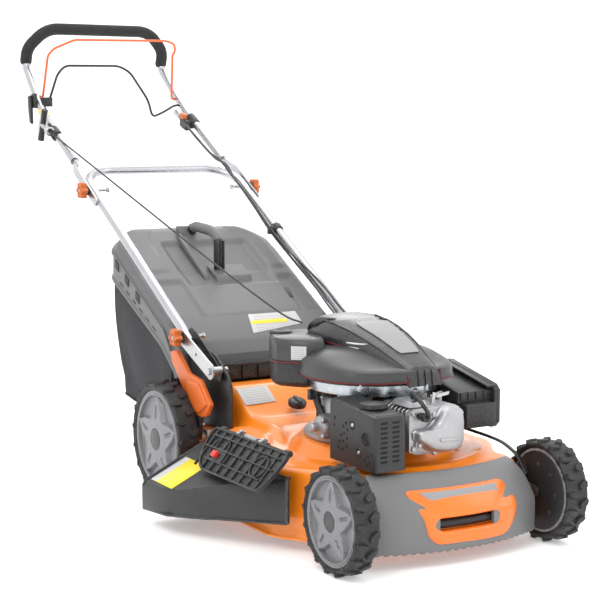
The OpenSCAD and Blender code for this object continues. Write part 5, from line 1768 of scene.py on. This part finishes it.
def kept_parts():
    """Finishes for the sub-parts of the frame that stay as they are."""
    for node, mat in KEPT.items():
        dress(frame["nodes"][node], mat)
    low, high = (corner[2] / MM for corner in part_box("recoil_pulley"))
    sheave = Form().lathe([(12, low), (64, low), (64, low + 2.5), (56, (low + high) / 2), (64, high - 2.5), (64, high),
                           (12, high), (12, low)],
                          (0, CRANK_Y, 0), "z", 64)
    for k in range(6):
        a = math.pi / 3 * k
        sheave.lathe([(5, high - 0.5), (6, high + 1), (3, high + 1)],
                     (36 * math.cos(a), CRANK_Y + 36 * math.sin(a), 0), "z", 14)
    piece("recoil_sheave", sheave, WHITE_NYLON, "recoil_pulley", "pulley_white", ("recoil_pulley",), bevel=0.5)


# ---- room ----


def lamp(name, at, to, size, power, tint=(1, 1, 1)):
    """Soft square lamp turned to a place."""
    data = bpy.data.lights.new(name, "AREA")
    data.shape, data.size, data.energy, data.color = "DISK", size, power, tint
    obj = bpy.data.objects.new(name, data)
    bpy.context.scene.collection.objects.link(obj)
    obj.location = at
    obj.rotation_euler = (Vector(to) - Vector(at)).to_track_quat("-Z", "Y").to_euler()
    return obj


def room():
    """Pale plain floor, soft lamps and the camera."""
    floor = bpy.data.meshes.new("floor")
    bowl = Form().lathe([(x / MM, z / MM) for x,
                         z in ((0.01, 0), (4, 0), (9, 0), (12, 0.3), (14.5, 1.4), (16, 3.4), (16.6, 7), (16.6, 13))],
                        (0, 0, 0), "z", 48)
    floor.from_pydata([tuple(c * MM for c in v) for v in bowl.verts], [], bowl.faces)
    floor.materials.append(finish("floor_pale", (0.88, 0.88, 0.88), 0.85, mottle=0.004, patch=2))
    glow = floor.materials[0].node_tree.nodes["Principled BSDF"]
    glow.inputs["Emission Color"].default_value = (1, 1, 1, 1)
    glow.inputs["Emission Strength"].default_value = 0.30
    ground = bpy.data.objects.new("floor", floor)
    ground.location.z = -0.0004
    bpy.context.scene.collection.objects.link(ground)
    world = bpy.data.worlds.new("studio")
    world.use_nodes = True
    board = Board(world.node_tree)
    soft = world.node_tree.nodes["Background"]
    seen = board.node("ShaderNodeBackground")
    seen.inputs["Color"].default_value = soft.inputs["Color"].default_value = (1, 1, 1, 1)
    seen.inputs["Strength"].default_value, soft.inputs["Strength"].default_value = 1.0, 0.34
    mixed = board.node("ShaderNodeMixShader")
    board.join(board.node("ShaderNodeLightPath").outputs["Is Camera Ray"], mixed.inputs[0])
    board.join(soft.outputs[0], mixed.inputs[1])
    board.join(seen.outputs[0], mixed.inputs[2])
    board.join(mixed.outputs[0], world.node_tree.nodes["World Output"].inputs["Surface"])
    bpy.context.scene.world = world
    bpy.context.scene.view_settings.view_transform = "Standard"
    mid = (0, -0.1, 0.35)
    lamp("key", (-2.6, -2.4, 3.6), mid, 1.8, 66)
    lamp("fill", (2.8, -2.6, 2.2), mid, 2.2, 20)
    lamp("top", (0.3, 0.8, 3.8), mid, 2.6, 34)
    lamp("rim", (1.8, 2.6, 2.4), mid, 1.6, 22)
    camera = bpy.data.cameras.new("camera")
    camera.lens, camera.sensor_width = 91.0, 36
    obj = bpy.data.objects.new("camera", camera)
    bpy.context.scene.collection.objects.link(obj)
    eye, target = Vector(place(-1630.6, -2632.2, 807.8)), Vector(place(-76.9, 47.7, 445.8))
    obj.location = eye
    obj.rotation_euler = (target - eye).to_track_quat("-Z", "Y").to_euler()
    bpy.context.scene.camera = obj


room()
deck_shell()
front_bumper()
bumper_insert()
rear_housing()
mounting_plates()
labels()
engine()
for wheel_name, (wx, wy, wr, wrim, wside) in WHEELS.items():
    tyre(wheel_name, wx, wy, wr, wrim)
    hub(wheel_name, wx, wy, wr, wrim, wside)
height_lever()
lower_tube()
upper_tube()
grip()
bails()
handle_parts()
for level, level_y, level_z in (("lower", 306, 347), ("upper", 826, tube_z(826))):
    for side_name, side_sign in (("left", -1), ("right", 1)):
        knob_name = f"knob_{level}_{side_name}"
        star_knob(knob_name, side_sign, level_y, level_z, knob_name)
cables()
bag_lid()
bag_body()
rear_flap()
side_flap()
side_chute()
wash_cap()
kept_parts()
